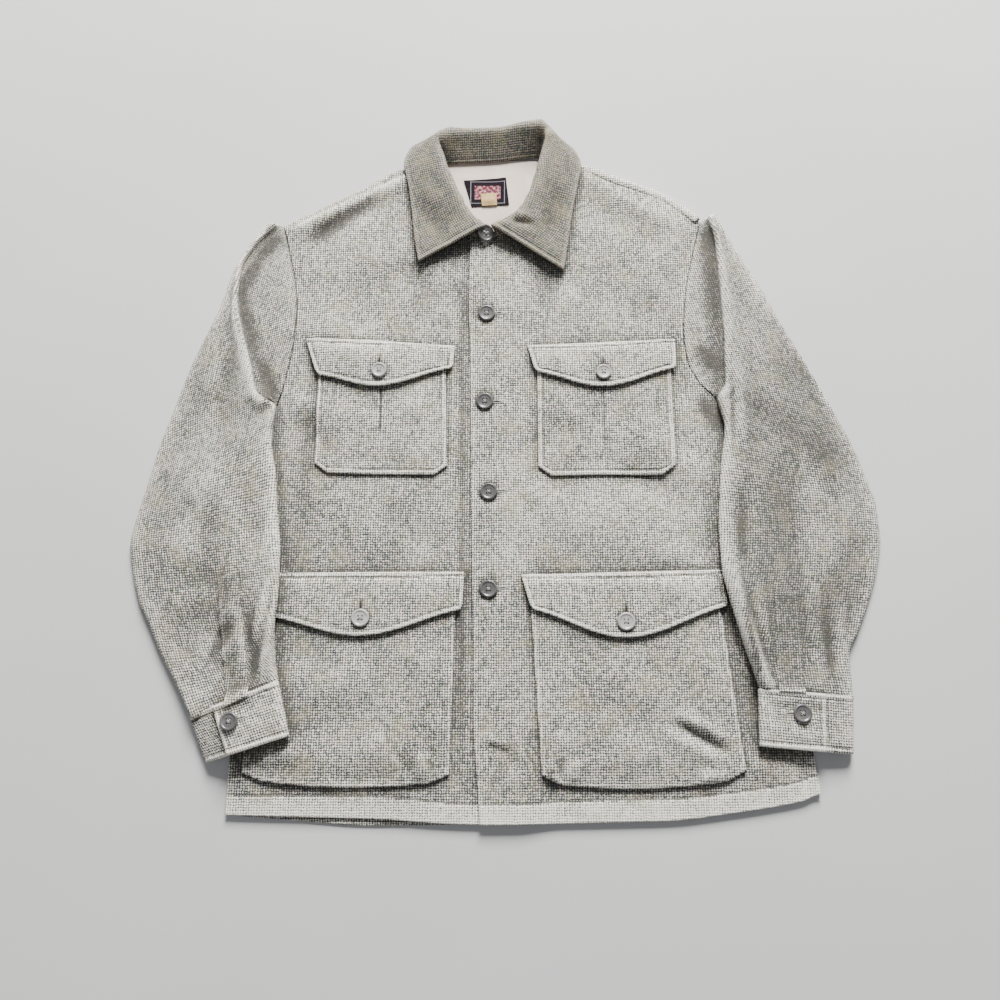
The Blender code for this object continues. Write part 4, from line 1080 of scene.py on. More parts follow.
def sleeve_section(row, body_edge, rest, kind):
    """Middle points round one section, as distance from the seam end and height."""
    seam_x, seam_y, outer_x, outer_y, valley, fold, crown = row
    width = math.hypot(outer_x - seam_x, outer_y - seam_y)
    floor_z = WOOL / 2
    outer = width - floor_z
    span = width - valley
    valley_z = WOOL + GAP + floor_z
    if kind == "closed":
        fold = max(fold, rest + ROLL_HEIGHT)
        inner = ((UNDERARM - 1.2, rest), (5.5, rest + 0.2), (2.2, rest + 1.8),
                 (1.25, 0.5 * (rest + fold)), (2.6, fold - 1.8), (7.0, fold))
        under = ((body_edge + BODY_STEP + 4, floor_z), (body_edge + 5, rest), (UNDERARM, rest))
        if body_edge + 5 <= UNDERARM + 3:
            under = ((UNDERARM + BODY_STEP + 8, floor_z + 0.1 * (rest - floor_z)),
                     (UNDERARM + 6, 0.3 * floor_z + 0.7 * rest), (UNDERARM, rest))
        crown = max(crown, rest + 3.4 - 0.35 * max(0.0, 0.5 * width - body_edge - 5))
    elif kind == "pit":
        inner = ((3.6, valley_z), (2.3, valley_z + 0.8), (1.7, valley_z + 2.4),
                 (1.6, 0.5 * (valley_z + fold) + 1), (3.0, fold - 1.6), (8.0, fold))
        under = ((0.5 * width, floor_z), (0.25 * width, floor_z), (7.5, floor_z))
    else:
        lean = min(1.0, width / 90.0)
        rise = fold - valley_z
        inner = ((GAP, valley_z), (0.4 * valley + GAP, valley_z + 0.2),
                 (0.74 * valley, valley_z + 0.13 * rise),
                 (valley - 0.5 * lean, valley_z + 0.5 * rise),
                 (valley + 0.6 * lean, fold - 2.0), (valley + 0.07 * span + 1.2, fold))
        under = ((0.5 * width, floor_z), (0.25 * width, floor_z), (GAP, floor_z))
    middle = ((valley + 0.24 * span, 0.45 * fold + 0.55 * crown), (valley + 0.5 * span, crown),
              (valley + 0.8 * span, crown - 1.5))
    corner = min(0.07 * span + 2.0, 0.3 * span)
    end = ((outer - 0.4 * corner, crown - 3.6), (outer, 4.4),
           (outer - corner, floor_z), (max(0.72 * width, valley + 0.3 * span), floor_z))
    return np.array(inner + middle + end + under)


def sleeve_places(table, side):
    """Middle points of a sleeve, section by section down to the cuff."""
    controls = []
    for k, (row, high) in enumerate(zip(table, highest_under(table, side))):
        seam = np.array(row[0:2], float)
        outer = np.array(row[2:4], float)
        out = (outer - seam) / np.linalg.norm(outer - seam)
        body_edge = abs(body_side(side, seam[1]) - seam[0])
        rest = (high + GAP if high > 0 else 0) + WOOL / 2
        kind = "closed" if k >= SEAM_ROWS else "pit" if k == SEAM_ROWS - 1 else "open"
        section = sleeve_section(row, body_edge, rest, kind)
        controls.append(np.column_stack((seam + out * section[:, :1], section[:, 1])))
    controls = np.array(controls)
    around = smooth(range(controls.shape[1]), controls.swapaxes(0, 1),
                    np.linspace(0, controls.shape[1] - 1, SLEEVE_AROUND)).swapaxes(0, 1)
    travel = travelled(controls[:, controls.shape[1] // 2])
    rows = smooth(travel, around, np.linspace(0, travel[-1], int(travel[-1] / SLEEVE_STEP)))
    rows[..., 2] = np.maximum(rows[..., 2], WOOL / 2)
    end = rows[-1]
    centre = end.mean(0)
    away = centre - rows[-4].mean(0)
    away /= np.linalg.norm(away[:2])
    tucked = [centre + (end - centre) * (0.99, 0.99, share) + away * (step, step, 0)
              for step, share in TUCK]
    return np.concatenate((rows, np.array(tucked)))


body_pile = Pile()                # the map as it is before the sleeves
body_pile.top = pile.top.copy()
for hand, table, side, front in (("right", SLEEVE_RIGHT, SIDE_RIGHT, front_right),
                                 ("left", SLEEVE_LEFT, SIDE_LEFT, front_left)):
    grid = sleeve_places(table, side)
    if hand == "left":
        grid = grid[:, ::-1]
    out = normals(grid)
    facing = ramp(out[..., 2], CREASE_TILT, 0.9) * (grid[..., 2] > 5)
    grid[..., 2] += facing * creases(grid[..., 0], grid[..., 1], SLEEVE_CREASES[hand])
    around = lengths(grid, 1)
    around -= around[:, around.shape[1] // 2][:, None]
    down = lengths(grid, 0)[:, grid.shape[1] // 2][:, None] + 0 * around
    sleeve, surface = cloth("sleeve_" + hand + "_cloth", grid, WOOL, np.dstack((around, -down)),
                            shaded_sleeve_wools[hand])
    pile.add(surface)
    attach(sleeve, "root")
    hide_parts("sleeve_" + hand)

# Cuffs and plackets. A doubled band round each wrist, its end buttoned over the other one, and a
# narrow stitched placket that runs up the sleeve from its opening.
CUFF = 3.4
CUFFS = {
    # inner_top, outer_top, inner_end, outer_end, overlap (share of the width from the inner edge)
    "right": ((-245, -269), (-344, -308), (-230, -327), (-322, -356), 0.70),
    "left": ((275, -277), (381, -286), (272, -338), (376, -347), 0.68),
}
CUFF_CREASES = {
    "right": ((-262, -290, -312, -306, 6, -2.0), (-300, -322, -262, -312, 7, 1.2),
              (-240, -296, -250, -320, 6, 1.1)),
    "left": ((290, -296, 345, -300, 6, -1.9), (300, -324, 350, -328, 6, 1.2),
             (280, -300, 290, -326, 6, 1.4), (276, -306, 300, -310, 5, -1.5)),
}
PLACKETS = {
    # top left, top right, bottom left, bottom right as they lie
    "right": ((-322, -158), (-298, -148), (-300, -297), (-275, -285)),
    "left": ((298, -173), (325, -172), (296, -281), (325, -283)),
}
CUFF_GROOVE = 1.1        # how deep a cuff's stitches pull it in
CUFF_RIDGE = 0.7         # how far its edges stand up beside them
CUFF_WELT_LIGHT = 0.9          # how strong the painted highlight on its raised edges is, and how much paler all of it is
CUFF_NAP = 0.15
PLACKET_THICK = 1.6
PLACKET_SUNK = 0.75      # how far a placket is sunk in the sleeve
PLACKET_NAP = -0.45
PLACKET_EDGE = (0, 0.3, 1.0, 2.2, 3.2, 4.4)


def cuff_section(width, edge, low, overlap):
    """Middle points round a cuff, from its overlapping edge to the end tucked under that."""
    layer = CUFF + GAP + 0.5
    top = low + 2 * layer
    foot = min(edge + BODY_STEP + 3, width - 8)
    return np.array((
        (overlap * width, top - 0.4), (0.45 * width, top), (0.2 * width, top), (7.0, top),
        (2.4, top - 1.6), (1.7, 0.5 * (top + low)), (2.4, low + 1.6), (7.0, low),
        (0.5 * edge, low), (edge + 5, low), (foot, 2.6), (width - 7.0, 1.9), (width - 2.6, 3.0),
        (width - 1.7, 5.2), (width - 3.0, 8.0), (width - 8.0, 10.2),
        (0.5 * (width - 8 + overlap * width), 0.5 * (10.2 + low + layer)),
        ((overlap - 0.03) * width, low + layer - 0.3), ((overlap - 0.14) * width, low + layer)))


def cuff_places(inner_top, outer_top, inner_end, outer_end, overlap, side):
    """Middle points of a cuff, rows from the sleeve to the open end."""
    corners = [np.array(p, float) for p in (inner_top, outer_top, inner_end, outer_end)]
    length = np.linalg.norm(corners[2] - corners[0])
    rows = []
    low = 0.0
    for v in places(length, 3.0) / length:
        inner = corners[0] * (1 - v) + corners[2] * v
        outer = corners[1] * (1 - v) + corners[3] * v
        width = np.linalg.norm(outer - inner)
        out = (outer - inner) / width
        spots = inner + out * np.arange(0, width, 3.0)[:, None]
        on_body = np.abs(spots[:, 0]) < np.abs(body_side(side, spots[:, 1]))
        heights = body_pile.under(spots[:, 0], spots[:, 1], 3.0)[on_body]
        edge = on_body.sum() * 3.0 - 3.0 if on_body.any() else 0.0
        low = max(low, heights.max() if on_body.any() else 0.0)
        rows.append((inner, out, width, max(edge, 0.0)))
    edges = np.array([r[3] for r in rows])
    edges = np.convolve(np.pad(edges, 4, mode="edge"), np.ones(9) / 9, mode="valid")
    grid = []
    for (inner, out, width, _), edge in zip(rows, edges):
        section = cuff_section(width, edge, low + GAP + CUFF / 2, overlap)
        fine = smooth(range(len(section)), section, np.linspace(0, len(section) - 1, 110))
        travel = travelled(fine)
        grid.append((inner, out, read_line(fine, travel, places(travel[-1], 2.8))))
    lines = []
    for inner, out, points in grid:
        at = np.linspace(0, len(points) - 1, len(grid[0][2]))
        points = read_line(points, range(len(points)), at)
        lines.append(np.column_stack((inner + out * points[:, :1],
                                      np.maximum(points[:, 1], CUFF / 2))))
    return np.array(lines)


for hand, side in (("right", SIDE_RIGHT), ("left", SIDE_LEFT)):
    grid = cuff_places(*CUFFS[hand], side)
    if hand == "left":
        grid = grid[:, ::-1]
    grid = grid[::-1]
    facing = ramp(normals(grid)[..., 2], CREASE_TILT, 0.9) * (grid[..., 2] > 9)
    down = lengths(grid, 0)
    band = np.minimum(down, down[-1:] - down)
    grid[..., 2] += facing * creases(grid[..., 0], grid[..., 1], CUFF_CREASES[hand])
    grid[..., 2] -= facing * CUFF_GROOVE * bell(band, STITCH_IN, 1.2)
    grid[..., 2] += facing * CUFF_RIDGE * (1 - ramp(band, 5.0, 9.0))
    around = lengths(grid, 1)
    cuff, surface = cloth("cuff_" + hand + "_cloth", grid, CUFF, np.dstack((down, around)),
                          shaded_sleeve_wools[hand], CUFF_WELT_LIGHT, CUFF_NAP)
    pile.add(surface)
    k = EDGE.index(STITCH_IN)
    seams.append(surface[k])
    seams.append(surface[-k - 1])
    seams.append(surface[:, -k - 1] if hand == "left" else surface[:, k])
    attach(cuff, "root")
    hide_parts("cuff_" + hand)

for hand, corners in PLACKETS.items():
    place = patch_places(corners, 2.6, PLACKET_EDGE, PLACKET_EDGE)
    x, y = place[..., 0], place[..., 1]
    height = pile.settle(x, y, 4) + PLACKET_THICK / 2 - PLACKET_SUNK
    placket, surface = cloth("placket_" + hand + "_cloth", np.dstack((x, y, height)),
                             PLACKET_THICK, place, shaded_sleeve_wools[hand], 0, PLACKET_NAP)
    pile.add(surface)
    for k in (4, -5):
        seams.append(surface[:, k])
    seams.append(surface[-5])
    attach(placket, "root")
    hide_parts("placket_" + hand)
    0.14 if hand == "right" else 0.11

# Collar. Stand and fall of doubled wool in one, rolled over at the top and stitched round the
# edge. It is darker and worn where it lay on the neck, and its points rest on the fronts.
COLLAR_CLOTH = 3.4
COLLAR_ROLL = 4.5
COLLAR = (
    # seam_x, seam_y, seam_z, roll_x, roll_y, roll_z, edge_x, edge_y, edge_z, lay
    (-34, 262, 11.5, -23, 272, 20, -105, 229, 13.5, 90),
    (-61, 283, 9.5, -43, 293, 19, -110, 258, 12.5, 90),
    (-78, 310, 9.5, -54, 313, 22, -115, 300, 12.5, 85),
    (-91, 336, 9.5, -66, 339, 25, -120, 336, 12.0, 70),
    (-101, 358, 9.0, -76, 366, 27, -126, 366, 9.0, 45),
    (-86, 367, 6.0, -84, 392, 27, -113, 394, 5.0, 0),
    (-62, 368, 5.6, -66, 407, 22, -84, 398, 3.0, -55),
    (-38, 369, 5.6, -38, 408, 18, -42, 386, 2.6, -85),
    (-8, 371, 5.6, -8, 409, 18, -8, 385, 2.6, -90),
    (20, 375, 5.6, 22, 414, 22, 24, 388, 2.6, -80),
    (42, 377, 5.6, 44, 415, 27, 60, 398, 3.0, -50),
    (58, 374, 7.5, 53, 397, 29, 84, 391, 5.0, 0),
    (76, 358, 9.0, 45, 367, 27, 96, 364, 9.0, 45),
    (63, 333, 9.5, 38, 339, 24, 91, 332, 12.0, 70),
    (50, 308, 10.5, 28, 311, 22, 84, 296, 12.5, 85),
    (30, 286, 12.2, 14, 291, 20.5, 78, 255, 12.5, 90),
    (-12, 264, 11.5, -17, 273, 20, 72, 218, 13.5, 90),
)
COLLAR_CREASES = (
    (42, 388, 55, 406, 3, -2.4), (48, 384, 62, 402, 3, 1.8), (6, 279, 34, 275, 4, -2.4),
    (8, 286, 38, 284, 5, 1.8), (14, 270, 44, 262, 6, 1.2), (-108, 312, -74, 262, 13, -2.8),
    (-96, 330, -84, 300, 9, 1.4), (-84, 262, -60, 250, 8, -1.0),
    (68, 325, 52, 262, 12, -3.2), (-112, 268, -90, 246, 9, 1.2), (50, 250, 66, 236, 7, 1.2),
    (40, 300, 34, 270, 7, 1.0),
)
COLLAR_INNER_COLUMNS = 18
COLLAR_STAND = 18        # how far up from the neck seam the edge's stitches begin
COLLAR_GROOVE = 0.6
# painted highlight on the collar's raised edge, with painted shade in its stitch groove
COLLAR_WELT_LIGHT = 0.6


def collar_places():
    """Middle points of the collar, from its neck seam over the roll to the edge of its fall."""
    table = np.array(COLLAR, float)
    fine = smooth(range(len(table)), table, np.linspace(0, len(table) - 1, 161))
    neck = np.array((-12.0, 330.0))
    sections = []
    for row in fine:
        seam, roll, edge = row[0:3], row[3:6], row[6:9]
        angle = math.radians(row[9])
        out = np.append(roll[:2] - neck, 0.0)
        out /= np.linalg.norm(out)
        turn = math.cos(angle) * out + math.sin(angle) * np.array((0, 0, 1.0))
        tip = roll - (seam + edge) / 2
        tip -= turn * np.dot(tip, turn)
        tip /= np.linalg.norm(tip)
        lower = roll - tip * COLLAR_ROLL - turn * COLLAR_ROLL
        upper = roll - tip * COLLAR_ROLL + turn * COLLAR_ROLL
        section = np.array((seam, seam * 0.5 + lower * 0.5, lower, roll, upper,
                            upper * 0.66 + edge * 0.34, upper * 0.3 + edge * 0.7, edge))
        dense = smooth(range(8), section, np.linspace(0, 7, 90))
        travel = travelled(dense)
        inner = np.linspace(EDGE[-1], travel[-1] - EDGE[-1], COLLAR_INNER_COLUMNS)
        at = np.concatenate((EDGE[:-1], inner, travel[-1] - np.array(EDGE[-2::-1])))
        sections.append(read_line(dense, travel, at))
    sections = np.array(sections)
    travel = travelled(sections[:, len(EDGE) + COLLAR_INNER_COLUMNS // 2])
    rows = places(travel[-1], 2.8)
    return smooth(travel, sections, rows)[::-1], rows


grid, in_from_end = collar_places()
facing = ramp(normals(grid)[..., 2], 0.3, 0.8)
grid[..., 2] += facing * creases(grid[..., 0], grid[..., 1], COLLAR_CREASES)
across = lengths(grid, 1)
in_from_edge = across[:, -1:] - across
near_end = np.minimum(in_from_end, in_from_end[-1] - in_from_end)[:, None]
groove = bell(np.minimum(in_from_edge, near_end), STITCH_IN, 1.0)
grid -= normals(grid) * (COLLAR_GROOVE * groove * (across > COLLAR_STAND))[..., None]
grid[..., 2] = np.maximum(grid[..., 2], COLLAR_CLOTH / 2)
collar_wool = wool("collar_wool", (0.05, 0.047, 0.039), (0.35, 0.325, 0.268), 0.20, 0.042)
collar, surface = cloth("collar_cloth", grid, COLLAR_CLOTH,
                        np.dstack((in_from_end[:, None] + 0 * across, across)), collar_wool,
                        COLLAR_WELT_LIGHT)
pile.add(surface)
k = EDGE.index(STITCH_IN)
seams.append(np.vstack((surface[k, 22:-k - 1], surface[k:-k, -k - 1],
                        surface[-k - 1, 22:-k - 1][::-1])))
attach(collar, "root")
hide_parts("collar")

# Painted shading. Cloth in a hollow gets painted shade, and cloth on a ridge a painted highlight.
# Each point's height is compared with the mean height round it, near by and further off, and
# painted marks of light and shade on the deepest folds, the buttonholes and the buttons' rims are
# added.
NEAR_REACH = 3.5
WIDE_REACH = 13.0
NEAR_STEP = 1.2      # the difference in height that counts in full
WIDE_STEP = 4.0
PAINTED_LIGHT_MARKS = (
    # x0, y0, x1, y1, width, how strong the painted highlight or, below 0, the painted shade
    (252, 278, 254, 246, 9, -1.6), (250, 250, 250, 150, 9, -0.9), (232, 124, 254, 92, 9, -1.5),
    (230, 60, 250, 20, 9, -1.4), (258, 260, 261, 130, 3.5, 0.6), (264, 80, 258, 30, 4, 0.6),
    (250, -10, 244, -65, 4, 0.5), (244, -65, 241, -137, 4, 0.5), (275, 63, 398, -36, 16, -0.55),
    (265, -80, 264, -130, 7, -0.6),
    (-276, 270, -300, 240, 8, -1.4), (-300, 240, -320, 187, 8, -1.4),
    (-318, 190, -296, 110, 7, -1.1), (-290, 104, -270, 60, 7, -1.3), (-282, 60, -275, 48, 4, -2.2),
    (-292, 268, -330, 205, 5, 0.5), (-338, 190, -318, 120, 5, 0.5), (-312, 110, -290, 56, 5, 0.5),
    (-281, -196, -270, -264, 5, -1.7), (-293, -196, -281, -264, 5, 1.0),
    (-262, -165, -262, -264, 4, 0.9), (-320, -246, -300, -204, 5, -1.2),
    (262, -176, 277, -270, 4, -1.9), (254, -176, 268, -270, 4, 0.9),
    (292, -175, 293, -270, 2.2, -0.9), (354, -205, 357, -272, 6, -0.7),
    (236, 230, 238, 110, 12, 0.35), (238, 270, 217, 170, 4, 0.6), (217, 170, 219, 105, 4, 0.6),
    (219, 105, 250, 56, 4, 0.4), (330, 190, 385, -20, 38, -0.7), (355, -20, 350, -230, 52, -0.9),
    (290, 40, 285, -180, 22, -0.5), (-345, 150, -395, -60, 38, -0.35),
    (-365, -60, -335, -230, 48, -0.4), (345, -343, 376, -343, 3.5, -2.0),
    (-120, 175, -60, 190, 18, -0.35), (-40, 210, -44, 150, 12, -0.5), (30, 215, 60, 170, 16, -0.4),
    (-230, 60, -232, -120, 9, -0.5),
    (-240, 262, -152, 330, 11, -1.2), (-270, 274, -112, 354, 4, 0.6),
    (46, -372, 56, -350, 4, -1.6), (62, -374, 68, -350, 4, 0.6),
)
BUTTON_RIM = 10.5    # where a button's rim casts its painted shadow
RIM_SHADOW = 0.9        # how dark that painted shadow is
HOLE_SHADE = 1.4       # how dark the painted shade in a flap's buttonhole is
WORKED_NAP = 0.7     # how pale the cloth round a front's buttonhole is


def mean_height(reach):
    """The pile's height, averaged round each square of its map."""
    down = np.fft.fftfreq(pile.COUNT[0])[:, None]
    side = np.fft.fftfreq(pile.COUNT[1])[None, :]
    keep = np.exp(-2 * (math.pi * reach / pile.CELL) ** 2 * (down ** 2 + side ** 2))
    return np.fft.ifft2(np.fft.fft2(pile.top) * keep).real


near_mean = mean_height(NEAR_REACH)
wide_mean = mean_height(WIDE_REACH)
for piece in laid:
    count = len(piece.data.vertices)
    spots = np.empty(count * 3, np.float32)
    piece.data.vertices.foreach_get("co", spots)
    x, y, z = (spots.reshape(-1, 3) / MM + MIDDLE).T
    cells = pile.cells(x, y)
    wear_and_painted_shading = np.empty(count, np.float32)
    piece.data.attributes["nap"].data.foreach_get("value", wear_and_painted_shading)
    # Painted shade in hollows and under edges, painted highlight on ridges.
    wear_and_painted_shading += 0.5 * np.clip((z - near_mean[cells]) / NEAR_STEP, -1, 1)
    wear_and_painted_shading += 0.5 * np.clip((z - wide_mean[cells]) / WIDE_STEP, -1, 1)
    # Painted shade in the deepest folds and painted highlights on rolled ridges, from the table.
    wear_and_painted_shading += creases(x, y, PAINTED_LIGHT_MARKS)
    # Painted shade along each flap's buttonhole.
    for button_x, button_y in FLAP_BUTTONS.values():
        wear_and_painted_shading -= HOLE_SHADE * stroke(x, y, button_x, button_y + 8, button_x, button_y + 21, 2.2)
    for button_x, button_y in FRONT_BUTTONS:
        wear_and_painted_shading += WORKED_NAP * stroke(x, y, button_x + 10, button_y, button_x + 23, button_y, 2.4)
    # Painted shadow round each button's rim.
    for button_x, button_y in (*FLAP_BUTTONS.values(), *FRONT_BUTTONS):
        wear_and_painted_shading -= RIM_SHADOW * bell(np.hypot(x - button_x, y - button_y), BUTTON_RIM, 2.0)
    piece.data.attributes["nap"].data.foreach_set("value", wear_and_painted_shading)

# Topstitching. Short stitches of pale grey thread along each stitched edge, sunk in the nap.
STITCH_STEP = 3.3
STITCH_WOBBLE = 0.12     # how far a stitch may turn from its line, in radians
thread_finish = Finish("thread", Roughness=0.7, Sheen_Weight=0.3)
thread_twist = thread_finish.noise(thread_finish.place(), 900.0, 2.0)
thread_finish.wear(Base_Color=thread_finish.blend(thread_twist, (0.30, 0.29, 0.26, 1),
                                                  (0.60, 0.58, 0.52, 1)),
                   Normal=thread_finish.bump(thread_twist, 0.0002))


def stitch_tree():
    """Geometry nodes that set small beads of thread along every edge of a mesh."""
    tree = bpy.data.node_groups.new("stitches", "GeometryNodeTree")
    face = tree.interface
    face.new_socket("Geometry", in_out="OUTPUT", socket_type="NodeSocketGeometry")
    face.new_socket("Geometry", in_out="INPUT", socket_type="NodeSocketGeometry")
    sizes = {}
    for label in ("Step", "Length", "Width", "Height"):
        sizes[label] = face.new_socket(label, in_out="INPUT", socket_type="NodeSocketFloat")
    sizes["Thread"] = face.new_socket("Thread", in_out="INPUT", socket_type="NodeSocketMaterial")

    def node(kind, settings, values, output=0):
        """One output of a new node."""
        return add_node(tree, kind, settings, values).outputs[output]

    given = tree.nodes.new("NodeGroupInput").outputs
    curve = node("GeometryNodeMeshToCurve", {}, {0: given["Geometry"]})
    points = node("GeometryNodeResampleCurve", {"mode": "LENGTH"},
                  {"Curve": curve, "Length": given["Step"]})
    tangent = node("GeometryNodeInputTangent", {}, {})
    along = node("FunctionNodeAlignRotationToVector", {"axis": "X"}, {"Vector": tangent})
    wobble = node("FunctionNodeRandomValue", {"data_type": "FLOAT"},
                  {"Seed": 7, 2: -STITCH_WOBBLE, 3: STITCH_WOBBLE}, 1)
    spin = node("FunctionNodeAxisAngleToRotation", {}, {"Axis": (0, 0, 1), "Angle": wobble})
    turned = node("FunctionNodeRotateRotation", {"rotation_space": "LOCAL"},
                  {"Rotation": along, "Rotate By": spin})
    ball = node("GeometryNodeMeshUVSphere", {}, {"Segments": 6, "Rings": 4, "Radius": 0.5})
    size = node("ShaderNodeCombineXYZ", {},
                {0: given["Length"], 1: given["Width"], 2: given["Height"]})
    bead = node("GeometryNodeTransform", {}, {"Geometry": ball, "Scale": size})
    beads = node("GeometryNodeInstanceOnPoints", {},
                 {"Points": points, "Instance": bead, "Rotation": turned})
    beads = node("GeometryNodeRealizeInstances", {}, {0: beads})
    beads = node("GeometryNodeSetMaterial", {}, {"Geometry": beads, "Material": given["Thread"]})
    add_node(tree, "NodeGroupOutput", {}, {0: beads})
    return tree, sizes


stitches, stitch_sizes = stitch_tree()


def sew(name, lines, thread, **sizes):
    """Makes the beads of thread along lines of points in millimetres, as one plain mesh."""
    points = np.vstack(lines)
    edges = []
    start = 0
    for line in lines:
        edges += [(start + k, start + k + 1) for k in range(len(line) - 1)]
        start += len(line)
    mesh = bpy.data.meshes.new(name + "_line")
    mesh.from_pydata(metres(points), edges, [])
    guide = put(name + "_line", mesh)
    maker = guide.modifiers.new("stitches", "NODES")
    maker.node_group = stitches
    for label, value in sizes.items():
        maker[stitch_sizes[label].identifier] = value
    maker[stitch_sizes["Thread"].identifier] = thread
    view_layer = bpy.context.evaluated_depsgraph_get()
    made = bpy.data.meshes.new_from_object(guide.evaluated_get(view_layer))
    bpy.data.objects.remove(guide, do_unlink=True)
    made.name = name
    made.shade_smooth()
    piece = put(name, made)
    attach(piece, "root")
    return piece


sewn = sew("topstitching", [line + (0, 0, 0.12) for line in seams], thread_finish.material,
           Step=STITCH_STEP * MM, Length=2.5 * MM, Width=0.62 * MM, Height=0.5 * MM)

# Buttons. Turned plastic buttons with a raised rim and four holes, sewn on with crossed thread:
# dark mottled ones down the front and on the cuffs, pale pearly ones on the flaps.
BUTTON_RADIUS = 10.0
BUTTONS = {
    # name: x, y, radius
    **{"button_front_" + str(k): (x, y, 10.0) for k, (x, y) in enumerate(FRONT_BUTTONS, 1)},
    **{"button_" + name.replace("_flap", ""): (x, y, 9.0 if "chest" in name else 10.0)
       for name, (x, y) in FLAP_BUTTONS.items()},
    "button_cuff_right": (-294.0, -311.5, 10.0), "button_cuff_left": (319.5, -303.5, 10.0),
}
BUTTON_PROFILE = (
    # share of the radius, height in millimetres
    (0.0, 0.35), (0.40, 0.35), (0.80, 0.55), (0.95, 1.05), (1.0, 1.8), (0.985, 2.5), (0.95, 3.0),
    (0.89, 3.35), (0.83, 3.4), (0.77, 3.25), (0.72, 2.9), (0.66, 2.6), (0.60, 2.5), (0.45, 2.38),
    (0.30, 2.3), (0.0, 2.28),
)
HOLE_PLACE = 2.0     # from the middle, along both axes
HOLE_RADIUS = 1.1
TURNS = 48
STRAND = 0.2         # half of the thread's thickness
STRAND_SIDES = 6
THREAD_REACH = 2.84      # from the middle of a button, on the diagonal, and its two heights
THREAD_HEIGHTS = (1.2, 2.75)
BUTTON_SUNK = 0.25       # how far a button presses into the cloth
SHARP_ANGLE = 40.0


def button_mesh():
    """A button of the usual radius, in millimetres, with its holes cut."""
    points = []
    faces = []
    for share, height in BUTTON_PROFILE[1:-1]:
        for k in range(TURNS):
            a = 2 * math.pi * k / TURNS
            points.append((share * math.cos(a) * BUTTON_RADIUS, share * math.sin(a) * BUTTON_RADIUS,
                           height))
    rings = len(BUTTON_PROFILE) - 2
    for ring in range(rings - 1):
        for k in range(TURNS):
            a = ring * TURNS + k
            b = ring * TURNS + (k + 1) % TURNS
            faces.append((a, b, b + TURNS, a + TURNS))
    points += [(0, 0, BUTTON_PROFILE[0][1]), (0, 0, BUTTON_PROFILE[-1][1])]
    last = (rings - 1) * TURNS
    for k in range(TURNS):
        faces.append(((k + 1) % TURNS, k, len(points) - 2))
        faces.append((last + k, last + (k + 1) % TURNS, len(points) - 1))
    mesh = bpy.data.meshes.new("button")
    mesh.from_pydata(points, [], faces)
    blank = put("button_blank", mesh)
    drill_mesh = bpy.data.meshes.new("drill")
    work = bmesh.new()
    for sx in (-1, 1):
        for sy in (-1, 1):
            made = bmesh.ops.create_cone(work, cap_ends=True, segments=14, radius1=HOLE_RADIUS,
                                         radius2=HOLE_RADIUS, depth=8)
            bmesh.ops.translate(work, verts=made["verts"],
                                vec=(sx * HOLE_PLACE, sy * HOLE_PLACE, 1.5))
    work.to_mesh(drill_mesh)
    work.free()
    drill = put("drill", drill_mesh)
    cut = blank.modifiers.new("holes", "BOOLEAN")
    cut.object = drill
    cut.operation = "DIFFERENCE"
    cut.solver = "EXACT"
    view_layer = bpy.context.evaluated_depsgraph_get()
    done = bpy.data.meshes.new_from_object(blank.evaluated_get(view_layer))
    bpy.data.objects.remove(blank, do_unlink=True)
    bpy.data.objects.remove(drill, do_unlink=True)
    return done


def plastic(name, dark, light, swirl, roughness):
    """Mottled, glossy button plastic."""
    finish = Finish(name, Coat_Weight=0.35, Coat_Roughness=0.12, Specular_IOR_Level=0.5)
    place = finish.place()
    grain = finish.noise(place, 160.0, 3.0, 0.6)
    bands = finish.node("ShaderNodeTexNoise", {},
                        {"Vector": place, "Scale": 60.0, "Detail": 2.0, "Distortion": swirl})
    scratch = finish.noise(place, 700.0, 2.0)
    share = ((grain * 0.5 + bands * 0.7 - 0.25) * 1.3).clamped()
    finish.wear(Base_Color=finish.blend(share, (*dark, 1), (*light, 1)),
                Roughness=roughness + scratch * 0.15,
                Normal=finish.bump(scratch, 0.00005))
    return finish


dark_plastic = plastic("dark_button", (0.04, 0.038, 0.039), (0.16, 0.152, 0.154), 2.0, 0.26)
pale_plastic = plastic("pale_button", (0.25, 0.235, 0.23), (0.60, 0.575, 0.555), 1.2, 0.24)
blank_button = button_mesh()


def thread_cross(span, low, high):
    """Two crossed stitches between opposite holes, each of two strands, as small tubes."""
    points = []
    faces = []
    for turn, lift in ((0.25, 0.0), (0.75, 0.28)):
        for strand in (-0.22, 0.22):
            a = turn * math.pi
            way = np.array((math.cos(a), math.sin(a), 0))
            side = np.array((-math.sin(a), math.cos(a), 0))
            path = []
            for t in np.linspace(-1, 1, 9):
                up = low + (high + lift - low) * (1 - abs(t) ** 5)
                path.append(way * (t * span) + side * strand + np.array((0, 0, up)))
            start = len(points)
            for p in path:
                for k in range(STRAND_SIDES):
                    b = 2 * math.pi * k / STRAND_SIDES
                    across = side * math.cos(b) + np.array((0, 0, math.sin(b)))
                    points.append(p + STRAND * across)
            for ring in range(len(path) - 1):
                for k in range(STRAND_SIDES):
                    q = start + ring * STRAND_SIDES + k
                    r = start + ring * STRAND_SIDES + (k + 1) % STRAND_SIDES
                    faces.append((q, q + STRAND_SIDES, r + STRAND_SIDES, r))
            end = len(points) - STRAND_SIDES
            faces.append(tuple(start + k for k in range(STRAND_SIDES)))
            faces.append(tuple(end + k for k in range(STRAND_SIDES))[::-1])
    return np.array(points), faces


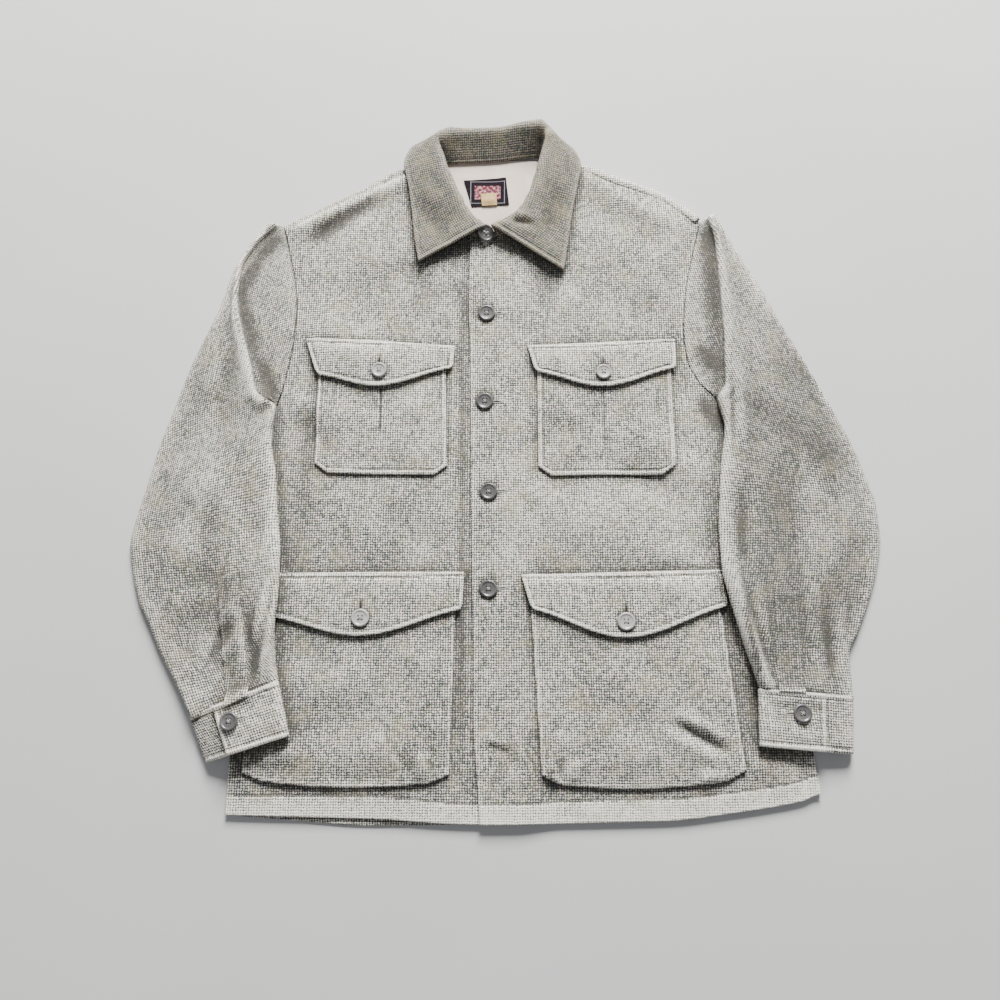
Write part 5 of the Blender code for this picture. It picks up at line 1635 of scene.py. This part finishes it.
def sew_on(name, x, y, radius, finish):
    """Sets a button flat on the cloth under it, with its thread."""
    ring = []
    for k in range(24):
        a = 2 * math.pi * k / 24
        for share in (0.4, 0.75, 1.0):
            px = x + share * radius * math.cos(a)
            py = y + share * radius * math.sin(a)
            ring.append((px - x, py - y, float(pile.under(np.array(px), np.array(py), 0.0))))
    ring = np.array(ring)
    system = np.column_stack((ring[:, 0], ring[:, 1], np.ones(len(ring))))
    slope_x, slope_y, level = np.linalg.lstsq(system, ring[:, 2], rcond=None)[0]
    over = ring[:, 2] - system @ np.array((slope_x, slope_y, level))
    base = level + np.quantile(over, 0.85) - BUTTON_SUNK
    size = radius / BUTTON_RADIUS
    body = np.array([v.co[:] for v in blank_button.vertices])
    body[:, :2] *= size
    cross, cross_faces = thread_cross(THREAD_REACH * size, *THREAD_HEIGHTS)
    points = np.vstack((body, cross))
    points[:, 2] += base + slope_x * points[:, 0] + slope_y * points[:, 1]
    points[:, :2] += (x, y)
    faces = [tuple(p.vertices) for p in blank_button.polygons]
    count = len(faces)
    faces += [tuple(len(body) + v for v in face) for face in cross_faces]
    mesh = bpy.data.meshes.new(name)
    mesh.from_pydata(metres(points), [], faces)
    mesh.shade_smooth()
    mesh.set_sharp_from_angle(angle=math.radians(SHARP_ANGLE))
    mesh.materials.append(finish.material)
    mesh.materials.append(thread_finish.material)
    slots = np.zeros(len(faces), int)
    slots[count:] = 1
    mesh.polygons.foreach_set("material_index", slots)
    piece = put(name, mesh)
    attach(piece, "root")
    return piece


def on_flap(name):
    """Whether a button of this name is one of the pale ones on the flaps."""
    return "chest" in name or "hip" in name


for name, (x, y, radius) in BUTTONS.items():
    pale = on_flap(name)
    button = sew_on(name + "_turned", x, y, radius, pale_plastic if pale else dark_plastic)
    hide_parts(name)

# Buttonholes. Each is a short slit worked round with close stitches of pale thread; the buttons
# hide one end of it. On the flaps the nap hides the stitches. A near-black prism in each slit is
# painted shade.
BUTTONHOLES = {
    # name of the button: direction of the slit, its start and end from the button's middle
    "button_front_2": (0, 3, 22), "button_front_3": (-4, 3, 22),
    "button_front_4": (2, 3, 22), "button_front_5": (3, 3, 22),
    "button_chest_right": (90, 2, 17), "button_chest_left": (90, 2, 17),
    "button_hip_right": (90, 2, 20), "button_hip_left": (88, 2, 20),
    "button_cuff_right": (15, 3, 19), "button_cuff_left": (182, 3, 20),
}
SLIT_SIDES = 20
SLIT_HALF = 0.8          # half of a slit's width, and how much shorter than its stitches it is
SLIT_SHORT = 0.6
SLIT_DEEP = 0.5
WORKED_HALF = 1.25       # half of the distance between the two rows of stitches
HOLE_LIFT = 0.3


def oval(x, y, turn, start, end, half_wide, count):
    """Points round an oval just above the cloth, the first one again at the end."""
    way = np.array((math.cos(math.radians(turn)), math.sin(math.radians(turn))))
    side = np.array((-way[1], way[0]))
    angle = np.linspace(0, 2 * math.pi, count + 1)[:, None]
    along = (start + end) / 2 + (end - start) / 2 * np.cos(angle)
    spots = np.array((x, y)) + way * along + side * half_wide * np.sin(angle)
    return np.column_stack((spots, pile.under(spots[:, 0], spots[:, 1], 0.6) + HOLE_LIFT))


# Painted shade: each slit holds a near-black prism in place of its shaded inside.
slit_shade_finish = Finish("slit", Base_Color=(0.02, 0.019, 0.018, 1), Roughness=1.0)
slit_points = []
slit_faces = []
worked = []
for name, (turn, start, end) in BUTTONHOLES.items():
    x, y, _ = BUTTONS[name]
    if not on_flap(name):
        worked.append(oval(x, y, turn, start, end, WORKED_HALF, 40))
    first = len(slit_points)
    for spot in oval(x, y, turn, start + SLIT_SHORT, end - SLIT_SHORT, SLIT_HALF, SLIT_SIDES)[:-1]:
        slit_points += [spot, spot - (0, 0, SLIT_DEEP)]
    ring = range(SLIT_SIDES)
    slit_faces.append(tuple(first + 2 * k for k in ring))
    slit_faces.append(tuple(first + 2 * k + 1 for k in ring)[::-1])
    for k in ring:
        a = first + 2 * k
        b = first + 2 * ((k + 1) % SLIT_SIDES)
        slit_faces.append((a, a + 1, b + 1, b))
slit_mesh = bpy.data.meshes.new("buttonhole_slits")
slit_mesh.from_pydata(metres(np.array(slit_points)), [], slit_faces)
slit_mesh.materials.append(slit_shade_finish.material)
slit_shades = put("buttonhole_slits", slit_mesh)
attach(slit_shades, "root")
work = sew("buttonhole_stitches", worked, thread_finish.material, Step=0.8 * MM,
           Length=0.75 * MM, Width=1.9 * MM, Height=0.6 * MM)
